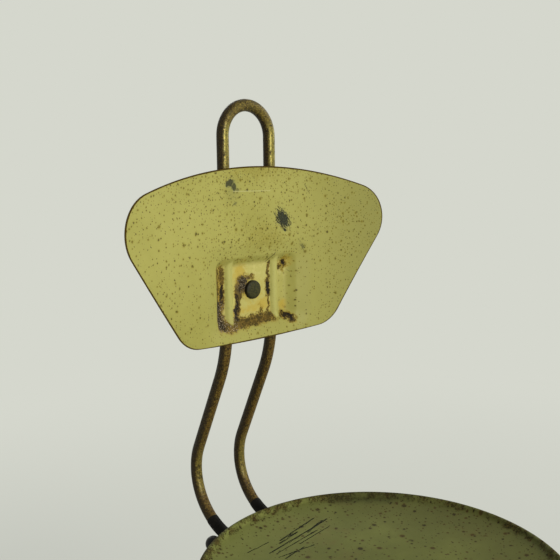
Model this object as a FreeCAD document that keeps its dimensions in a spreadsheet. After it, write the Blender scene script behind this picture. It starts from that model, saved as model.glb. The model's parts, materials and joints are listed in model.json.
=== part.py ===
# Dentist stool: dished steel seat, pressed steel backrest on a bent rod loop,
# telescopic column with a clamp knob, swivelling seat head, four bent tube legs.
# Frame: Z up, Z = 0 on the floor, X = Y = 0 on the column axis. The sitter faces -Y.
import FreeCAD, Part
import math
import os
import re

import Sketcher
from FreeCAD import Placement, Rotation, Vector

os.makedirs("parts", exist_ok=True)
doc = FreeCAD.newDocument("dentist_stool")

# ---------------------------------------------------------------- driving sizes
SIZES = {
    # seat
    "seat_height": 480, "seat_dia": 335, "sheet": 1.5, "dish_depth": 11,
    "dish_flat": 210, "dish_turn": 240, "rim_bead": 8,
    # bent rod that carries the backrest
    "rod_dia": 12, "rod_gap": 60, "rod_drop": 24, "rod_back": 176, "rod_front": -88,
    "loop_top": 420, "upper_bend": 140, "lower_bend": 60, "rake": 25, "bend_back": 232,
    "sleeve_wall": 0.5, "sleeve_sweep": 36, "sleeve_lead": 22,
    # backrest plate, its heights taken from the clamp
    "clamp_level": 234, "plate_sheet": 1.2, "plate_curve": 700, "plate_rise": 82.1,
    "plate_drop": 45.7, "top_width": 371, "low_width": 193, "top_arc": 460,
    "bottom_arc": 980, "top_round": 36.5, "low_round": 36, "plate_spare": 12,
    # pocket pressed into the plate
    "pocket_width": 108, "pocket_drop": 34, "pocket_rise": 32, "pocket_depth": 12.5,
    "pocket_round": 12, "wall_slope": 25, "floor_lead": 4.5, "channel_play": 0.3,
    "channel_end": 3,
    # clamp through the pocket
    "bolt_dia": 8, "head_dia": 18.5, "head_rise": 9, "head_edge": 0.6, "bolt_end": 2,
    "bolt_play": 0.2, "washer": 1.5, "washer_dia": 18,
    "strap_margin": 8, "strap_height": 24, "strap_thick": 5, "strap_grip": 1.5,
    "strap_round": 5,
    "wing_hub": 15, "wing_hub_top": 12.6, "wing_hub_height": 10, "wing_span": 44,
    "wing_thick": 3.2, "wing_rise": 17, "wing_tip": 8, "wing_foot": 1,
    # frame below the seat
    "beam_width": 100, "beam_length": 200, "bar_place": 60, "bar_width": 24,
    "bar_height": 14, "bar_gap": 2, "bar_bolt": 8, "bar_bite": 5, "stud_dia": 6,
    "stud_x": 43, "stud_y": 25, "stud_play": 0.2, "stud_end": 3, "nut_across": 10,
    "nut_height": 5, "hex_across": 13, "hex_height": 5.3,
    # swivel head
    "head_drop": 68, "socket_dia": 44, "spigot_dia": 24, "spigot_clear": 3,
    "spigot_edge": 1, "ear_width": 24, "ear_end": 11, "ear_height": 20, "ear_lift": 2,
    "slit": 2.4, "pinch_gap": 11, "pinch_lift": 12, "pinch_dia": 8,
    "keeper_dia": 6, "keeper_drop": 9, "keeper_head": 10, "keeper_cap": 4,
    "groove_height": 7, "groove_depth": 2,
    # lever that pinches the socket
    "lever_hub": 20, "lever_eye": 11, "lever_dia": 7, "pinch_end": 1.2, "ball_dia": 16,
    "ball_x": -44, "ball_out": 20.5, "ball_drop": 29.5,
    # column
    "column_dia": 44, "column_wall": 2.5, "column_low": 150, "flange_lip": 4,
    "flange_thick": 4, "thrust_thick": 2.95, "plug_length": 20, "lift": 130,
    "bush_length": 25, "bush_wall": 2, "bush_collar": 1.7,
    # hub and legs
    "hub_wall": 3, "hub_low": 95, "cap_thick": 4, "cap_depth": 14, "cap_wall": 3,
    "leg_dia": 22, "leg_wall": 1.6, "leg_level": 235, "leg_bend": 90, "leg_slope": 50,
    "toe_bend": 60, "foot_reach": 250, "toe_level": 40, "leg_end": 6,
    "ring_tube": 18, "ring_level": 130, "ring_out": 0.2,
    "foot_dia": 34, "foot_neck": 29, "foot_height": 34, "foot_edge": 1.5, "foot_band": 7,
    "foot_waist": 15,
    # clamp knob on the hub
    "knob_drop": 25, "knob_screw": 10, "knob_boss": 20, "boss_out": 14, "knob_gap": 6,
    "knob_dia": 46, "knob_thick": 20, "knob_lobe": 16, "knob_core": 30, "knob_step": 2.5,
    "knob_cover": 4,
    # running fit and free gap
    "fit": 0.05, "free": 0.3,
}

# Sizes that follow from the ones above, as expressions.
DERIVED = {
    "seat_rad": "seat_dia / 2",
    "rod_rad": "rod_dia / 2",
    "rod_x": "rod_gap / 2",
    "rod_z": "seat_height - rod_drop",
    "crown_z": "seat_height + loop_top - rod_rad - rod_x",
    "pan_under": "seat_height - dish_depth - sheet",
    "beam_low": "rod_z + rod_rad",
    "bar_low": "beam_low - bar_gap - bar_height",
    "bead_rad": "rim_bead / 2",
    "bead_x": "seat_rad - bead_rad",
    "bead_z": "seat_height - bead_rad",
    "face_z": "seat_height + clamp_level",
    "pocket_low": "face_z - pocket_drop",
    "pocket_high": "face_z + pocket_rise",
    "plate_low": "face_z - plate_drop",
    "plate_high": "face_z + plate_rise",
    "floor_y": "rod_back - floor_lead",
    "plate_face": "floor_y - pocket_depth",
    "column_high": "seat_height - head_drop",
    "socket_low": "column_high + flange_thick + thrust_thick + fit",
    "column_rad": "column_dia / 2",
    "column_bore": "column_rad - column_wall",
    "flange_rad": "column_rad + flange_lip",
    "hub_bore": "column_rad + bush_wall",
    "hub_rad": "hub_bore + hub_wall",
    "hub_high": "column_high - bush_collar - free",
    "bush_low": "column_low + bush_length + lift + free",
    "knob_level": "hub_high - knob_drop",
    "boss_end": "hub_rad + boss_out",
    "knob_start": "boss_end + knob_gap",
    "leg_rad": "leg_dia / 2",
    "slope_foot": "foot_reach - toe_bend * (1 - sin(leg_slope))",
    "slope_low": "toe_level + toe_bend * cos(leg_slope)",
    "ring_rad": "slope_foot - (ring_level - slope_low) / tan(leg_slope) + ring_out",
    "spigot_rad": "spigot_dia / 2",
    "socket_rad": "socket_dia / 2",
    "groove_rad": "spigot_rad - groove_depth",
    "keeper_level": "beam_low - keeper_drop",
    "pinch_out": "socket_rad + pinch_gap",
    "pinch_z": "socket_low + pinch_lift",
    "ear_reach": "pinch_out + ear_end",
    "eye_start": "ear_width / 2 + free",
    "ball_y": "seat_rad + ball_out",
    "ball_z": "seat_height - ball_drop",
    "bolt_rad": "bolt_dia / 2",
    "strap_half": "rod_x + rod_rad + strap_margin",
    "strap_front": "rod_back + rod_rad + fit - strap_grip",
    "strap_back": "strap_front + strap_thick",
    "nut_front": "strap_back + washer",
}

sheet = doc.addObject("Spreadsheet::Sheet", "Sheet")
for row, (name, value) in enumerate(SIZES.items(), start=1):
    sheet.set(f"A{row}", name)
    sheet.set(f"B{row}", str(value))
    sheet.setAlias(f"B{row}", name)
doc.recompute()


def expr(text):
    """Write a size expression with every name led back to the sheet."""
    def swap(match):
        word = match.group(0)
        if word in DERIVED:
            return "(" + expr(DERIVED[word]) + ")"
        return "Sheet." + word if word in SIZES else word
    return re.sub(r"[a-z_]+", swap, str(text))


def size(text):
    """The number that a size expression comes to."""
    return float(sheet.evalExpression(expr(text)))


def bind(thing, prop, text):
    thing.setExpression(prop, expr(text))


# ---------------------------------------------------------------- building helpers
def new_body(label):
    piece = doc.addObject("PartDesign::Body", label)
    piece.Label = label
    return piece


def plane(body, role):
    return next(item for item in body.Origin.OriginFeatures if item.Role == role)


def new_sketch(body, role, offset="0", name="Sketch"):
    sketch = body.newObject("Sketcher::SketchObject", name)
    sketch.AttachmentSupport = [(plane(body, role), "")]
    sketch.MapMode = "FlatFace"
    bind(sketch, "AttachmentOffset.Base.z", offset)
    doc.recompute()
    return sketch


def pin_point(sketch, index, pos, across, up):
    """Tie one point of a sketch to two size expressions."""
    for kind, text in (("DistanceX", across), ("DistanceY", up)):
        key = sketch.addConstraint(Sketcher.Constraint(kind, -1, 1, index, pos, size(text)))
        bind(sketch, f"Constraints[{key}]", text)


def outline(sketch, points, arcs=None):
    """Closed outline through points; arcs maps an edge number to (radius, side)."""
    arcs = arcs or {}
    spots = [Vector(size(a), size(b), 0) for a, b in points]
    first = len(sketch.Geometry)
    ends = []
    for i, start in enumerate(spots):
        stop = spots[(i + 1) % len(spots)]
        if i in arcs:
            radius, side = arcs[i]
            chord = stop - start
            left = Vector(-chord.y, chord.x, 0).normalize()
            rise = math.sqrt(max(size(radius) ** 2 - chord.Length ** 2 / 4, 0))
            centre = (start + stop) / 2 + left * rise * side
            angles = [math.atan2(p.y - centre.y, p.x - centre.x) for p in (start, stop)]
            if side < 0:
                angles.reverse()
            circle = Part.Circle(centre, Vector(0, 0, 1), size(radius))
            sketch.addGeometry(Part.ArcOfCircle(circle, *angles), False)
            ends.append((1, 2) if side > 0 else (2, 1))
        else:
            sketch.addGeometry(Part.LineSegment(start, stop), False)
            ends.append((1, 2))
    count = len(spots)
    for i, (across, up) in enumerate(points):
        after = (i + 1) % count
        sketch.addConstraint(Sketcher.Constraint(
            "Coincident", first + i, ends[i][1], first + after, ends[after][0]))
        pin_point(sketch, first + i, ends[i][0], across, up)
        if i in arcs:
            key = sketch.addConstraint(
                Sketcher.Constraint("Radius", first + i, size(arcs[i][0])))
            bind(sketch, f"Constraints[{key}]", arcs[i][0])


def ring(sketch, across, up, radius):
    """Circle with its centre and radius tied to size expressions."""
    spot = Vector(size(across), size(up), 0)
    index = sketch.addGeometry(Part.Circle(spot, Vector(0, 0, 1), size(radius)), False)
    pin_point(sketch, index, 3, across, up)
    key = sketch.addConstraint(Sketcher.Constraint("Radius", index, size(radius)))
    bind(sketch, f"Constraints[{key}]", radius)


def block(sketch, x_low, x_high, y_low, y_high):
    outline(sketch, [(x_low, y_low), (x_high, y_low), (x_high, y_high), (x_low, y_high)])


def pad(body, sketch, length, reverse=False, taper=None):
    feature = body.newObject("PartDesign::Pad", "Pad")
    feature.Profile = sketch
    bind(feature, "Length", length)
    feature.Reversed = reverse
    if taper:
        bind(feature, "TaperAngle", taper)
    doc.recompute()
    return feature


def cut(body, sketch, length=None, reverse=False, taper=None, both=False):
    """Pocket that has to take material away."""
    before = body.Shape.Volume
    feature = body.newObject("PartDesign::Pocket", "Pocket")
    feature.Profile = sketch
    if both:
        feature.Midplane = True
    if length:
        bind(feature, "Length", length)
    else:
        feature.Type = "ThroughAll"
    feature.Reversed = reverse
    if taper:
        bind(feature, "TaperAngle", taper)
    doc.recompute()
    if not body.Shape.Volume < before - 1e-6:
        raise RuntimeError(f"{body.Label}: a pocket removed nothing")
    return feature


def turn(body, sketch, degrees=360):
    feature = body.newObject("PartDesign::Revolution", "Revolution")
    feature.Profile = sketch
    feature.ReferenceAxis = (sketch, ["V_Axis"])
    feature.Angle = degrees
    doc.recompute()
    return feature


def turned(label, points, arcs=None):
    """Body turned about Z from one outline given as (radius, height) pairs."""
    body = new_body(label)
    sketch = new_sketch(body, "XZ_Plane")
    outline(sketch, points, arcs)
    turn(body, sketch)
    return body


def tube_points(inner, outer, low, high):
    return [(inner, low), (outer, low), (outer, high), (inner, high)]


def drum(name, radius, length, spot=("0", "0", "0"), rotation=Rotation()):
    """Part cylinder with its sizes and place tied to the sheet."""
    solid = doc.addObject("Part::Cylinder", name)
    bind(solid, "Radius", radius)
    bind(solid, "Height", length)
    return place(solid, spot, rotation)


def place(thing, spot, rotation=Rotation()):
    thing.Placement = Placement(Vector(*[size(s) for s in spot]), rotation)
    for axis, text in zip("xyz", spot):
        bind(thing, f"Placement.Base.{axis}", text)
    doc.recompute()
    return thing


def subtract(label, base, tool):
    result = doc.addObject("Part::Cut", label)
    result.Base = base
    result.Tool = tool
    result.Label = label
    doc.recompute()
    return result


def merge(label, items):
    result = doc.addObject("Part::MultiFuse", label)
    result.Shapes = items
    result.Refine = True
    result.Label = label
    doc.recompute()
    return result


def gather(label, items):
    """Several loose pieces of one kind, kept as separate solids of one sub-part."""
    result = doc.addObject("Part::Compound", label)
    result.Links = items
    result.Label = label
    doc.recompute()
    return result


TO_X = Rotation(Vector(0, 1, 0), 90)      # turns a Z axis to +X
TO_Y = Rotation(Vector(1, 0, 0), -90)     # turns a Z axis to +Y
pieces = []


# ---------------------------------------------------------------- base
hub = turned("hub_tube", tube_points("hub_bore", "hub_rad", "hub_low", "hub_high"))
knob_hole = new_sketch(hub, "YZ_Plane")
ring(knob_hole, "0", "knob_level", "knob_screw / 2 + fit")
cut(hub, knob_hole, "hub_rad + boss_out", reverse=True)
pieces.append(hub)

pieces.append(turned("hub_cap", [
    ("0", "hub_low - cap_thick"), ("hub_rad", "hub_low - cap_thick"), ("hub_rad", "hub_low"),
    ("hub_bore - fit", "hub_low"), ("hub_bore - fit", "hub_low + cap_depth"),
    ("hub_bore - cap_wall", "hub_low + cap_depth"), ("hub_bore - cap_wall", "hub_low"),
    ("0", "hub_low")]))

bush = turned("guide_bush", [
    ("column_rad + fit", "bush_low"), ("hub_bore - fit", "bush_low"),
    ("hub_bore - fit", "hub_high"), ("hub_rad", "hub_high"),
    ("hub_rad", "column_high - free"), ("column_rad + fit", "column_high - free")])
tip_hole = new_sketch(bush, "YZ_Plane")
ring(tip_hole, "0", "knob_level", "knob_screw / 2 + free")
cut(bush, tip_hole, "hub_rad + boss_out", reverse=True)
pieces.append(bush)

boss = new_body("knob_boss")
boss_face = new_sketch(boss, "YZ_Plane")
ring(boss_face, "0", "knob_level", "knob_boss / 2")
ring(boss_face, "0", "knob_level", "knob_screw / 2 + fit")
pad(boss, boss_face, "boss_end")
boss_cope = new_sketch(boss, "XY_Plane", "hub_low")
ring(boss_cope, "0", "0", "hub_rad")
cut(boss, boss_cope, reverse=True)
pieces.append(boss)


def leg_path():
    """Joints of the leg centreline from the hub down, as (reach, level) vectors."""
    slope = math.radians(size("leg_slope"))
    big = size("leg_bend")
    toe = Vector(size("foot_reach"), size("toe_level"), 0)
    low = Vector(size("slope_foot"), size("slope_low"), 0)
    high_z = size("leg_level") - big + big * math.cos(slope)
    high = Vector(low.x - (high_z - low.y) / math.tan(slope), high_z, 0)
    shoulder = Vector(high.x - big * math.sin(slope), size("leg_level"), 0)
    return shoulder, high, low, toe


def leg(label, angle):
    body = new_body(label)
    path = new_sketch(body, "XZ_Plane", name="Path")
    shoulder, high, low, toe = leg_path()
    start = Vector(0, size("leg_level"), 0)
    end = Vector(toe.x, size("leg_end"), 0)
    steep = math.radians(90 - size("leg_slope"))
    upper = Part.Circle(shoulder - Vector(0, size("leg_bend"), 0), Vector(0, 0, 1),
                        size("leg_bend"))
    lower = Part.Circle(toe - Vector(size("toe_bend"), 0, 0), Vector(0, 0, 1),
                        size("toe_bend"))
    path.addGeometry([
        Part.LineSegment(start, shoulder),
        Part.ArcOfCircle(upper, steep, math.pi / 2),
        Part.LineSegment(high, low),
        Part.ArcOfCircle(lower, 0, steep),
        Part.LineSegment(toe, end)], False)
    for one, pos, two, other in ((0, 2, 1, 2), (1, 1, 2, 1), (2, 2, 3, 2), (3, 1, 4, 1)):
        path.addConstraint(Sketcher.Constraint("Tangent", one, pos, two, other))
    for index, text in ((1, "leg_bend"), (3, "toe_bend")):
        key = path.addConstraint(Sketcher.Constraint("Radius", index, size(text)))
        bind(path, f"Constraints[{key}]", text)
    pin_point(path, 0, 1, "0", "leg_level")
    pin_point(path, 4, 2, "foot_reach", "leg_end")
    section = new_sketch(body, "YZ_Plane", name="Section")
    ring(section, "0", "leg_level", "leg_rad")
    ring(section, "0", "leg_level", "leg_rad - leg_wall")
    doc.recompute()
    pipe = body.newObject("PartDesign::AdditivePipe", "Pipe")
    pipe.Profile = section
    pipe.Spine = (path, [f"Edge{i}" for i in range(1, 6)])
    doc.recompute()
    cope = new_sketch(body, "XY_Plane", "hub_low")
    ring(cope, "0", "0", "hub_rad")
    cut(body, cope, reverse=True)
    body.Placement = Placement(Vector(), Rotation(Vector(0, 0, 1), angle))
    return body


LEG_TURNS = [0, 90, 180, 270]
for number, angle in enumerate(LEG_TURNS, start=1):
    pieces.append(leg(f"leg_{number}", angle))

# The foot ring is four bars, each coped to the sloping part of the legs beside it.
slope_high, slope_end = leg_path()[1:3]
slope_line = slope_end - slope_high
slope_start = Vector(slope_high.x, 0, slope_high.y)
slope_aim = Rotation(Vector(0, 0, 1), Vector(slope_line.x, 0, slope_line.y))
for number, angle in enumerate(LEG_TURNS, start=1):
    arc = doc.addObject("Part::Torus", f"arc_{number}")
    bind(arc, "Radius1", "ring_rad")
    bind(arc, "Radius2", "ring_tube / 2")
    arc.Angle3 = 90
    spin = Rotation(Vector(0, 0, 1), angle)
    place(arc, ("0", "0", "ring_level"), spin)
    copes = []
    for side in (angle, angle + 90):
        swing = Rotation(Vector(0, 0, 1), side)
        tool = doc.addObject("Part::Cylinder", f"cope_{number}")
        bind(tool, "Radius", "leg_rad")
        tool.Height = slope_line.Length
        tool.Placement = Placement(swing.multVec(slope_start), swing.multiply(slope_aim))
        copes.append(tool)
    pieces.append(subtract(f"foot_bar_{number}", arc, merge(f"copes_{number}", copes)))

for number, angle in enumerate(LEG_TURNS, start=1):
    foot = turned(f"foot_{number}", [
        ("0", "0"), ("foot_dia / 2 - foot_edge", "0"), ("foot_dia / 2", "foot_edge"),
        ("foot_dia / 2", "foot_band"), ("foot_neck / 2", "foot_waist"),
        ("foot_neck / 2", "foot_height"), ("leg_rad + fit", "foot_height"),
        ("leg_rad + fit", "leg_end"),
        ("0", "leg_end")])
    way = Rotation(Vector(0, 0, 1), angle)
    foot.Placement = Placement(way.multVec(Vector(size("foot_reach"), 0, 0)), way)
    pieces.append(foot)

# ---------------------------------------------------------------- clamp knob on the hub
screw_start = "column_rad + free + fit"
height_screw = drum("height_screw", "knob_screw / 2",
                    f"knob_start + knob_thick - knob_cover - ({screw_start})",
                    (screw_start, "0", "knob_level"), TO_X)
height_screw.Label = "height_screw"
pieces.append(height_screw)

star_parts = [drum("star_core", "knob_core / 2", "knob_thick")]
LOBES = 5
for number in range(LOBES):
    lobe_turn = f"{360 / LOBES * number}"
    lobe_out = "(knob_dia - knob_lobe) / 2"
    star_parts.append(drum(
        f"star_lobe_{number}", "knob_lobe / 2", "knob_thick - 2 * knob_step",
        (f"{lobe_out} * cos({lobe_turn})", f"{lobe_out} * sin({lobe_turn})", "knob_step")))
star = merge("star_body", star_parts)
star_hole = drum("star_hole", "knob_screw / 2 + fit", "knob_thick - knob_cover + 1",
                 ("0", "0", "-1"))
height_knob = subtract("height_knob", star, star_hole)
place(height_knob, ("knob_start", "0", "knob_level"), TO_X)
pieces.append(height_knob)

# ---------------------------------------------------------------- column
pieces.append(turned("column_tube", tube_points(
    "column_bore", "column_rad", "column_low", "column_high")))

pieces.append(turned("column_bush", tube_points(
    "column_rad + fit", "hub_bore - fit", "column_low", "column_low + bush_length")))

groove_low = "keeper_level - groove_height / 2"
groove_high = "keeper_level + groove_height / 2"
pieces.append(turned("spindle", [
    ("0", "column_high - plug_length"), ("column_bore - fit", "column_high - plug_length"),
    ("column_bore - fit", "column_high"), ("flange_rad", "column_high"),
    ("flange_rad", "column_high + flange_thick"),
    ("spigot_rad", "column_high + flange_thick"), ("spigot_rad", groove_low),
    ("groove_rad", groove_low), ("groove_rad", groove_high),
    ("spigot_rad", groove_high), ("spigot_rad", "beam_low - spigot_clear - spigot_edge"),
    ("spigot_rad - spigot_edge", "beam_low - spigot_clear"),
    ("0", "beam_low - spigot_clear")]))

pieces.append(turned("thrust_washer", tube_points(
    "spigot_rad + fit", "socket_rad", "column_high + flange_thick",
    "column_high + flange_thick + thrust_thick")))

# ---------------------------------------------------------------- seat head
pan = turned("seat_pan", [
    ("0", "pan_under"), ("dish_flat / 2", "pan_under"), ("bead_x", "bead_z - sheet / 2"),
    ("bead_x", "bead_z + sheet / 2"), ("dish_flat / 2", "pan_under + sheet"),
    ("0", "pan_under + sheet")], {1: ("dish_turn", 1), 3: ("dish_turn", -1)})
bead = new_sketch(pan, "XZ_Plane")
ring(bead, "bead_x", "bead_z", "bead_rad")
turn(pan, bead)
pieces.append(pan)

beam = new_body("seat_beam")
beam_face = new_sketch(beam, "XY_Plane", "beam_low")
block(beam_face, "-beam_width / 2", "beam_width / 2", "-beam_length / 2", "beam_length / 2")
for side in (-1, 1):
    ring(beam_face, "0", f"{side} * bar_place", "bar_bolt / 2 + fit")
    for end in (-1, 1):
        ring(beam_face, f"{side} * stud_x", f"{end} * stud_y", "stud_dia / 2 + stud_play")
pad(beam, beam_face, "pan_under - beam_low")
pieces.append(beam)

studs = new_body("pan_studs")
stud_face = new_sketch(studs, "XY_Plane", "beam_low - nut_height - stud_end")
for side in (-1, 1):
    for end in (-1, 1):
        ring(stud_face, f"{side} * stud_x", f"{end} * stud_y", "stud_dia / 2")
pad(studs, stud_face, "pan_under - beam_low + nut_height + stud_end")
pieces.append(studs)


def hex_nut(name, across, height, bore, spot, rotation=Rotation()):
    prism = doc.addObject("Part::Prism", name + "_hex")
    prism.Polygon = 6
    bind(prism, "Circumradius", f"({across}) / sqrt(3)")
    bind(prism, "Height", height)
    hole = drum(name + "_bore", bore, f"({height}) + 2", ("0", "0", "-1"))
    nut = subtract(name, prism, hole)
    return place(nut, spot, rotation)


def hex_head(name, spot, rotation=Rotation()):
    prism = doc.addObject("Part::Prism", name)
    prism.Polygon = 6
    bind(prism, "Circumradius", "hex_across / sqrt(3)")
    bind(prism, "Height", "hex_height")
    return place(prism, spot, rotation)


STUD_SPOTS = [(-1, -1), (-1, 1), (1, -1), (1, 1)]
pieces.append(gather("pan_nuts", [
    hex_nut(f"nut_{number}", "nut_across", "nut_height", "stud_dia / 2 + fit",
            (f"{side} * stud_x", f"{end} * stud_y", "beam_low - nut_height"))
    for number, (side, end) in enumerate(STUD_SPOTS)]))

BARS = {"front": -1, "rear": 1}
bolts = []
for end, side in BARS.items():
    bar = new_body(f"clamp_bar_{end}")
    bar_end = f"-({side} * bar_place) - bar_width / 2"
    bar_face = new_sketch(bar, "XZ_Plane", bar_end)
    block(bar_face, "-beam_width / 2", "beam_width / 2", "bar_low", "bar_low + bar_height")
    pad(bar, bar_face, "bar_width")
    grooves = new_sketch(bar, "XZ_Plane", bar_end)
    for hand in (-1, 1):
        ring(grooves, f"{hand} * rod_x", "rod_z", "rod_rad + fit")
    cut(bar, grooves, "bar_width", reverse=True)
    bar_hole = new_sketch(bar, "XY_Plane", "bar_low")
    ring(bar_hole, "0", f"{side} * bar_place", "bar_bolt / 2 + fit")
    cut(bar, bar_hole, "bar_height + bar_gap", reverse=True)
    pieces.append(bar)
    shank = drum(f"bar_shank_{end}", "bar_bolt / 2", "bar_height + bar_gap + bar_bite",
                 ("0", f"{side} * bar_place", "bar_low"))
    bolt_head = hex_head(f"bar_head_{end}", ("0", f"{side} * bar_place", "bar_low - hex_height"))
    bolts.append(merge(f"bar_bolt_{end}", [shank, bolt_head]))
pieces.append(gather("clamp_bar_bolts", bolts))

socket = new_body("swivel_socket")
socket_face = new_sketch(socket, "XY_Plane", "socket_low")
ring(socket_face, "0", "0", "socket_rad")
pad(socket, socket_face, "beam_low - socket_low")
ears = new_sketch(socket, "XY_Plane", "socket_low + ear_lift")
block(ears, "-ear_width / 2", "ear_width / 2", "spigot_rad", "ear_reach")
pad(socket, ears, "ear_height")
bore = new_sketch(socket, "XY_Plane", "socket_low")
ring(bore, "0", "0", "spigot_rad + fit")
cut(socket, bore, "beam_low - socket_low", reverse=True)
slit = new_sketch(socket, "XY_Plane", "socket_low")
block(slit, "-slit / 2", "slit / 2", "spigot_rad / 2", "ear_reach + 1")
cut(socket, slit, "ear_lift + ear_height + 1", reverse=True)
pinch_hole = new_sketch(socket, "YZ_Plane", "-ear_width / 2 - 1")
ring(pinch_hole, "pinch_out", "pinch_z", "pinch_dia / 2 + fit")
cut(socket, pinch_hole, "ear_width + 2", reverse=True)
keeper_hole = new_sketch(socket, "XZ_Plane", "spigot_rad / 2")
ring(keeper_hole, "0", "keeper_level", "keeper_dia / 2 + fit")
cut(socket, keeper_hole, "socket_rad", reverse=True)
pieces.append(socket)

keeper_shank = drum("keeper_shank", "keeper_dia / 2", "socket_rad - groove_rad - free",
                    ("0", "-socket_rad", "keeper_level"), TO_Y)
keeper_cap = drum("keeper_cap", "keeper_head / 2", "keeper_cap",
                  ("0", "-socket_rad - keeper_cap", "keeper_level"), TO_Y)
pieces.append(merge("keeper_screw", [keeper_shank, keeper_cap]))

pinch_start = "eye_start + lever_eye + pinch_end"
pinch_shank = drum("pinch_shank", "pinch_dia / 2", f"{pinch_start} + ear_width / 2",
                   (f"-({pinch_start})", "pinch_out", "pinch_z"), TO_X)
pinch_head = hex_head("pinch_head", ("ear_width / 2", "pinch_out", "pinch_z"), TO_X)
pieces.append(merge("pinch_screw", [pinch_shank, pinch_head]))

# ---------------------------------------------------------------- pinch lever
lever_eye = drum("lever_eye", "lever_hub / 2", "lever_eye",
                 ("-(eye_start + lever_eye)", "pinch_out", "pinch_z"), TO_X)
eye_mid = Vector(size("-(eye_start + lever_eye / 2)"), size("pinch_out"), size("pinch_z"))
ball_mid = Vector(size("ball_x"), size("ball_y"), size("ball_z"))
lever_line = ball_mid - eye_mid
lever_aim = Rotation(Vector(0, 0, 1), lever_line)
lever_rod = doc.addObject("Part::Cylinder", "lever_rod")
bind(lever_rod, "Radius", "lever_dia / 2")
lever_rod.Height = lever_line.Length
lever_rod.Placement = Placement(eye_mid, lever_aim)
lever_solid = merge("lever_solid", [lever_eye, lever_rod])
eye_hole = drum("eye_hole", "pinch_dia / 2 + fit", "lever_eye + 2",
                ("-(eye_start + lever_eye + 1)", "pinch_out", "pinch_z"), TO_X)
pieces.append(subtract("pinch_lever", lever_solid, eye_hole))

ball = doc.addObject("Part::Sphere", "ball")
bind(ball, "Radius", "ball_dia / 2")
ball.Placement = Placement(ball_mid, lever_aim)
ball_hole = doc.addObject("Part::Cylinder", "ball_hole")
bind(ball_hole, "Radius", "lever_dia / 2 + fit")
ball_hole.Height = lever_line.Length
ball_hole.Placement = Placement(eye_mid, lever_aim)
pieces.append(subtract("lever_ball", ball, ball_hole))


# ---------------------------------------------------------------- bent rod loop
def rod_path():
    """Joints of the rod centreline in the plane of one leg, as (Y, Z) vectors."""
    big, small = size("upper_bend"), size("lower_bend")
    turn_y = size("bend_back") - small
    turn_z = size("rod_z") + small
    rise_low = Vector(turn_y + small * math.cos(RAKE), turn_z + small * math.sin(RAKE), 0)
    rise_y = size("rod_back") + big * (1 - math.cos(RAKE))
    rise = (rise_low.x - rise_y) / math.tan(RAKE)
    rise_high = Vector(rise_y, rise_low.y + rise, 0)
    back_low = Vector(size("rod_back"), rise_high.y + big * math.sin(RAKE), 0)
    back_high = Vector(size("rod_back"), size("crown_z"), 0)
    return Vector(turn_y, size("rod_z"), 0), rise_low, rise_high, back_low, back_high


RAKE = math.radians(size("rake"))
bend_start, rise_low, rise_high, back_low, back_high = rod_path()
rod = new_body("back_rod")
rod_line = new_sketch(rod, "YZ_Plane", "rod_x", name="Path")
small_circle = Part.Circle(bend_start + Vector(0, size("lower_bend"), 0), Vector(0, 0, 1),
                           size("lower_bend"))
big_circle = Part.Circle(back_low + Vector(size("upper_bend"), 0, 0), Vector(0, 0, 1),
                         size("upper_bend"))
rod_line.addGeometry([
    Part.LineSegment(Vector(size("rod_front"), size("rod_z"), 0), bend_start),
    Part.ArcOfCircle(small_circle, -math.pi / 2, RAKE),
    Part.LineSegment(rise_low, rise_high),
    Part.ArcOfCircle(big_circle, math.pi, math.pi + RAKE),
    Part.LineSegment(back_low, back_high)], False)
for one, pos, two, other in ((0, 2, 1, 1), (1, 2, 2, 1), (2, 2, 3, 2), (3, 1, 4, 1)):
    rod_line.addConstraint(Sketcher.Constraint("Tangent", one, pos, two, other))
for index, text in ((1, "lower_bend"), (3, "upper_bend")):
    key = rod_line.addConstraint(Sketcher.Constraint("Radius", index, size(text)))
    bind(rod_line, f"Constraints[{key}]", text)
pin_point(rod_line, 0, 1, "rod_front", "rod_z")
pin_point(rod_line, 4, 2, "rod_back", "crown_z")
rod_face = new_sketch(rod, "XZ_Plane", "-rod_front", name="Section")
ring(rod_face, "rod_x", "rod_z", "rod_rad")
doc.recompute()
rod_pipe = rod.newObject("PartDesign::AdditivePipe", "Pipe")
rod_pipe.Profile = rod_face
rod_pipe.Spine = (rod_line, [f"Edge{i}" for i in range(1, 6)])
doc.recompute()
rod_twin = rod.newObject("PartDesign::Mirrored", "Twin")
rod_twin.Originals = [rod_pipe]
rod_twin.MirrorPlane = (plane(rod, "YZ_Plane"), [""])
rod.Tip = rod_twin
doc.recompute()
loop_face = new_sketch(rod, "XY_Plane", "crown_z")
ring(loop_face, "rod_x", "rod_back", "rod_rad")
loop_turn = rod.newObject("PartDesign::Revolution", "Crown")
loop_turn.Profile = loop_face
loop_turn.ReferenceAxis = (loop_face, ["V_Axis"])
loop_turn.Angle = 180
loop_turn.Reversed = True
doc.recompute()
pieces.append(rod)

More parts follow.
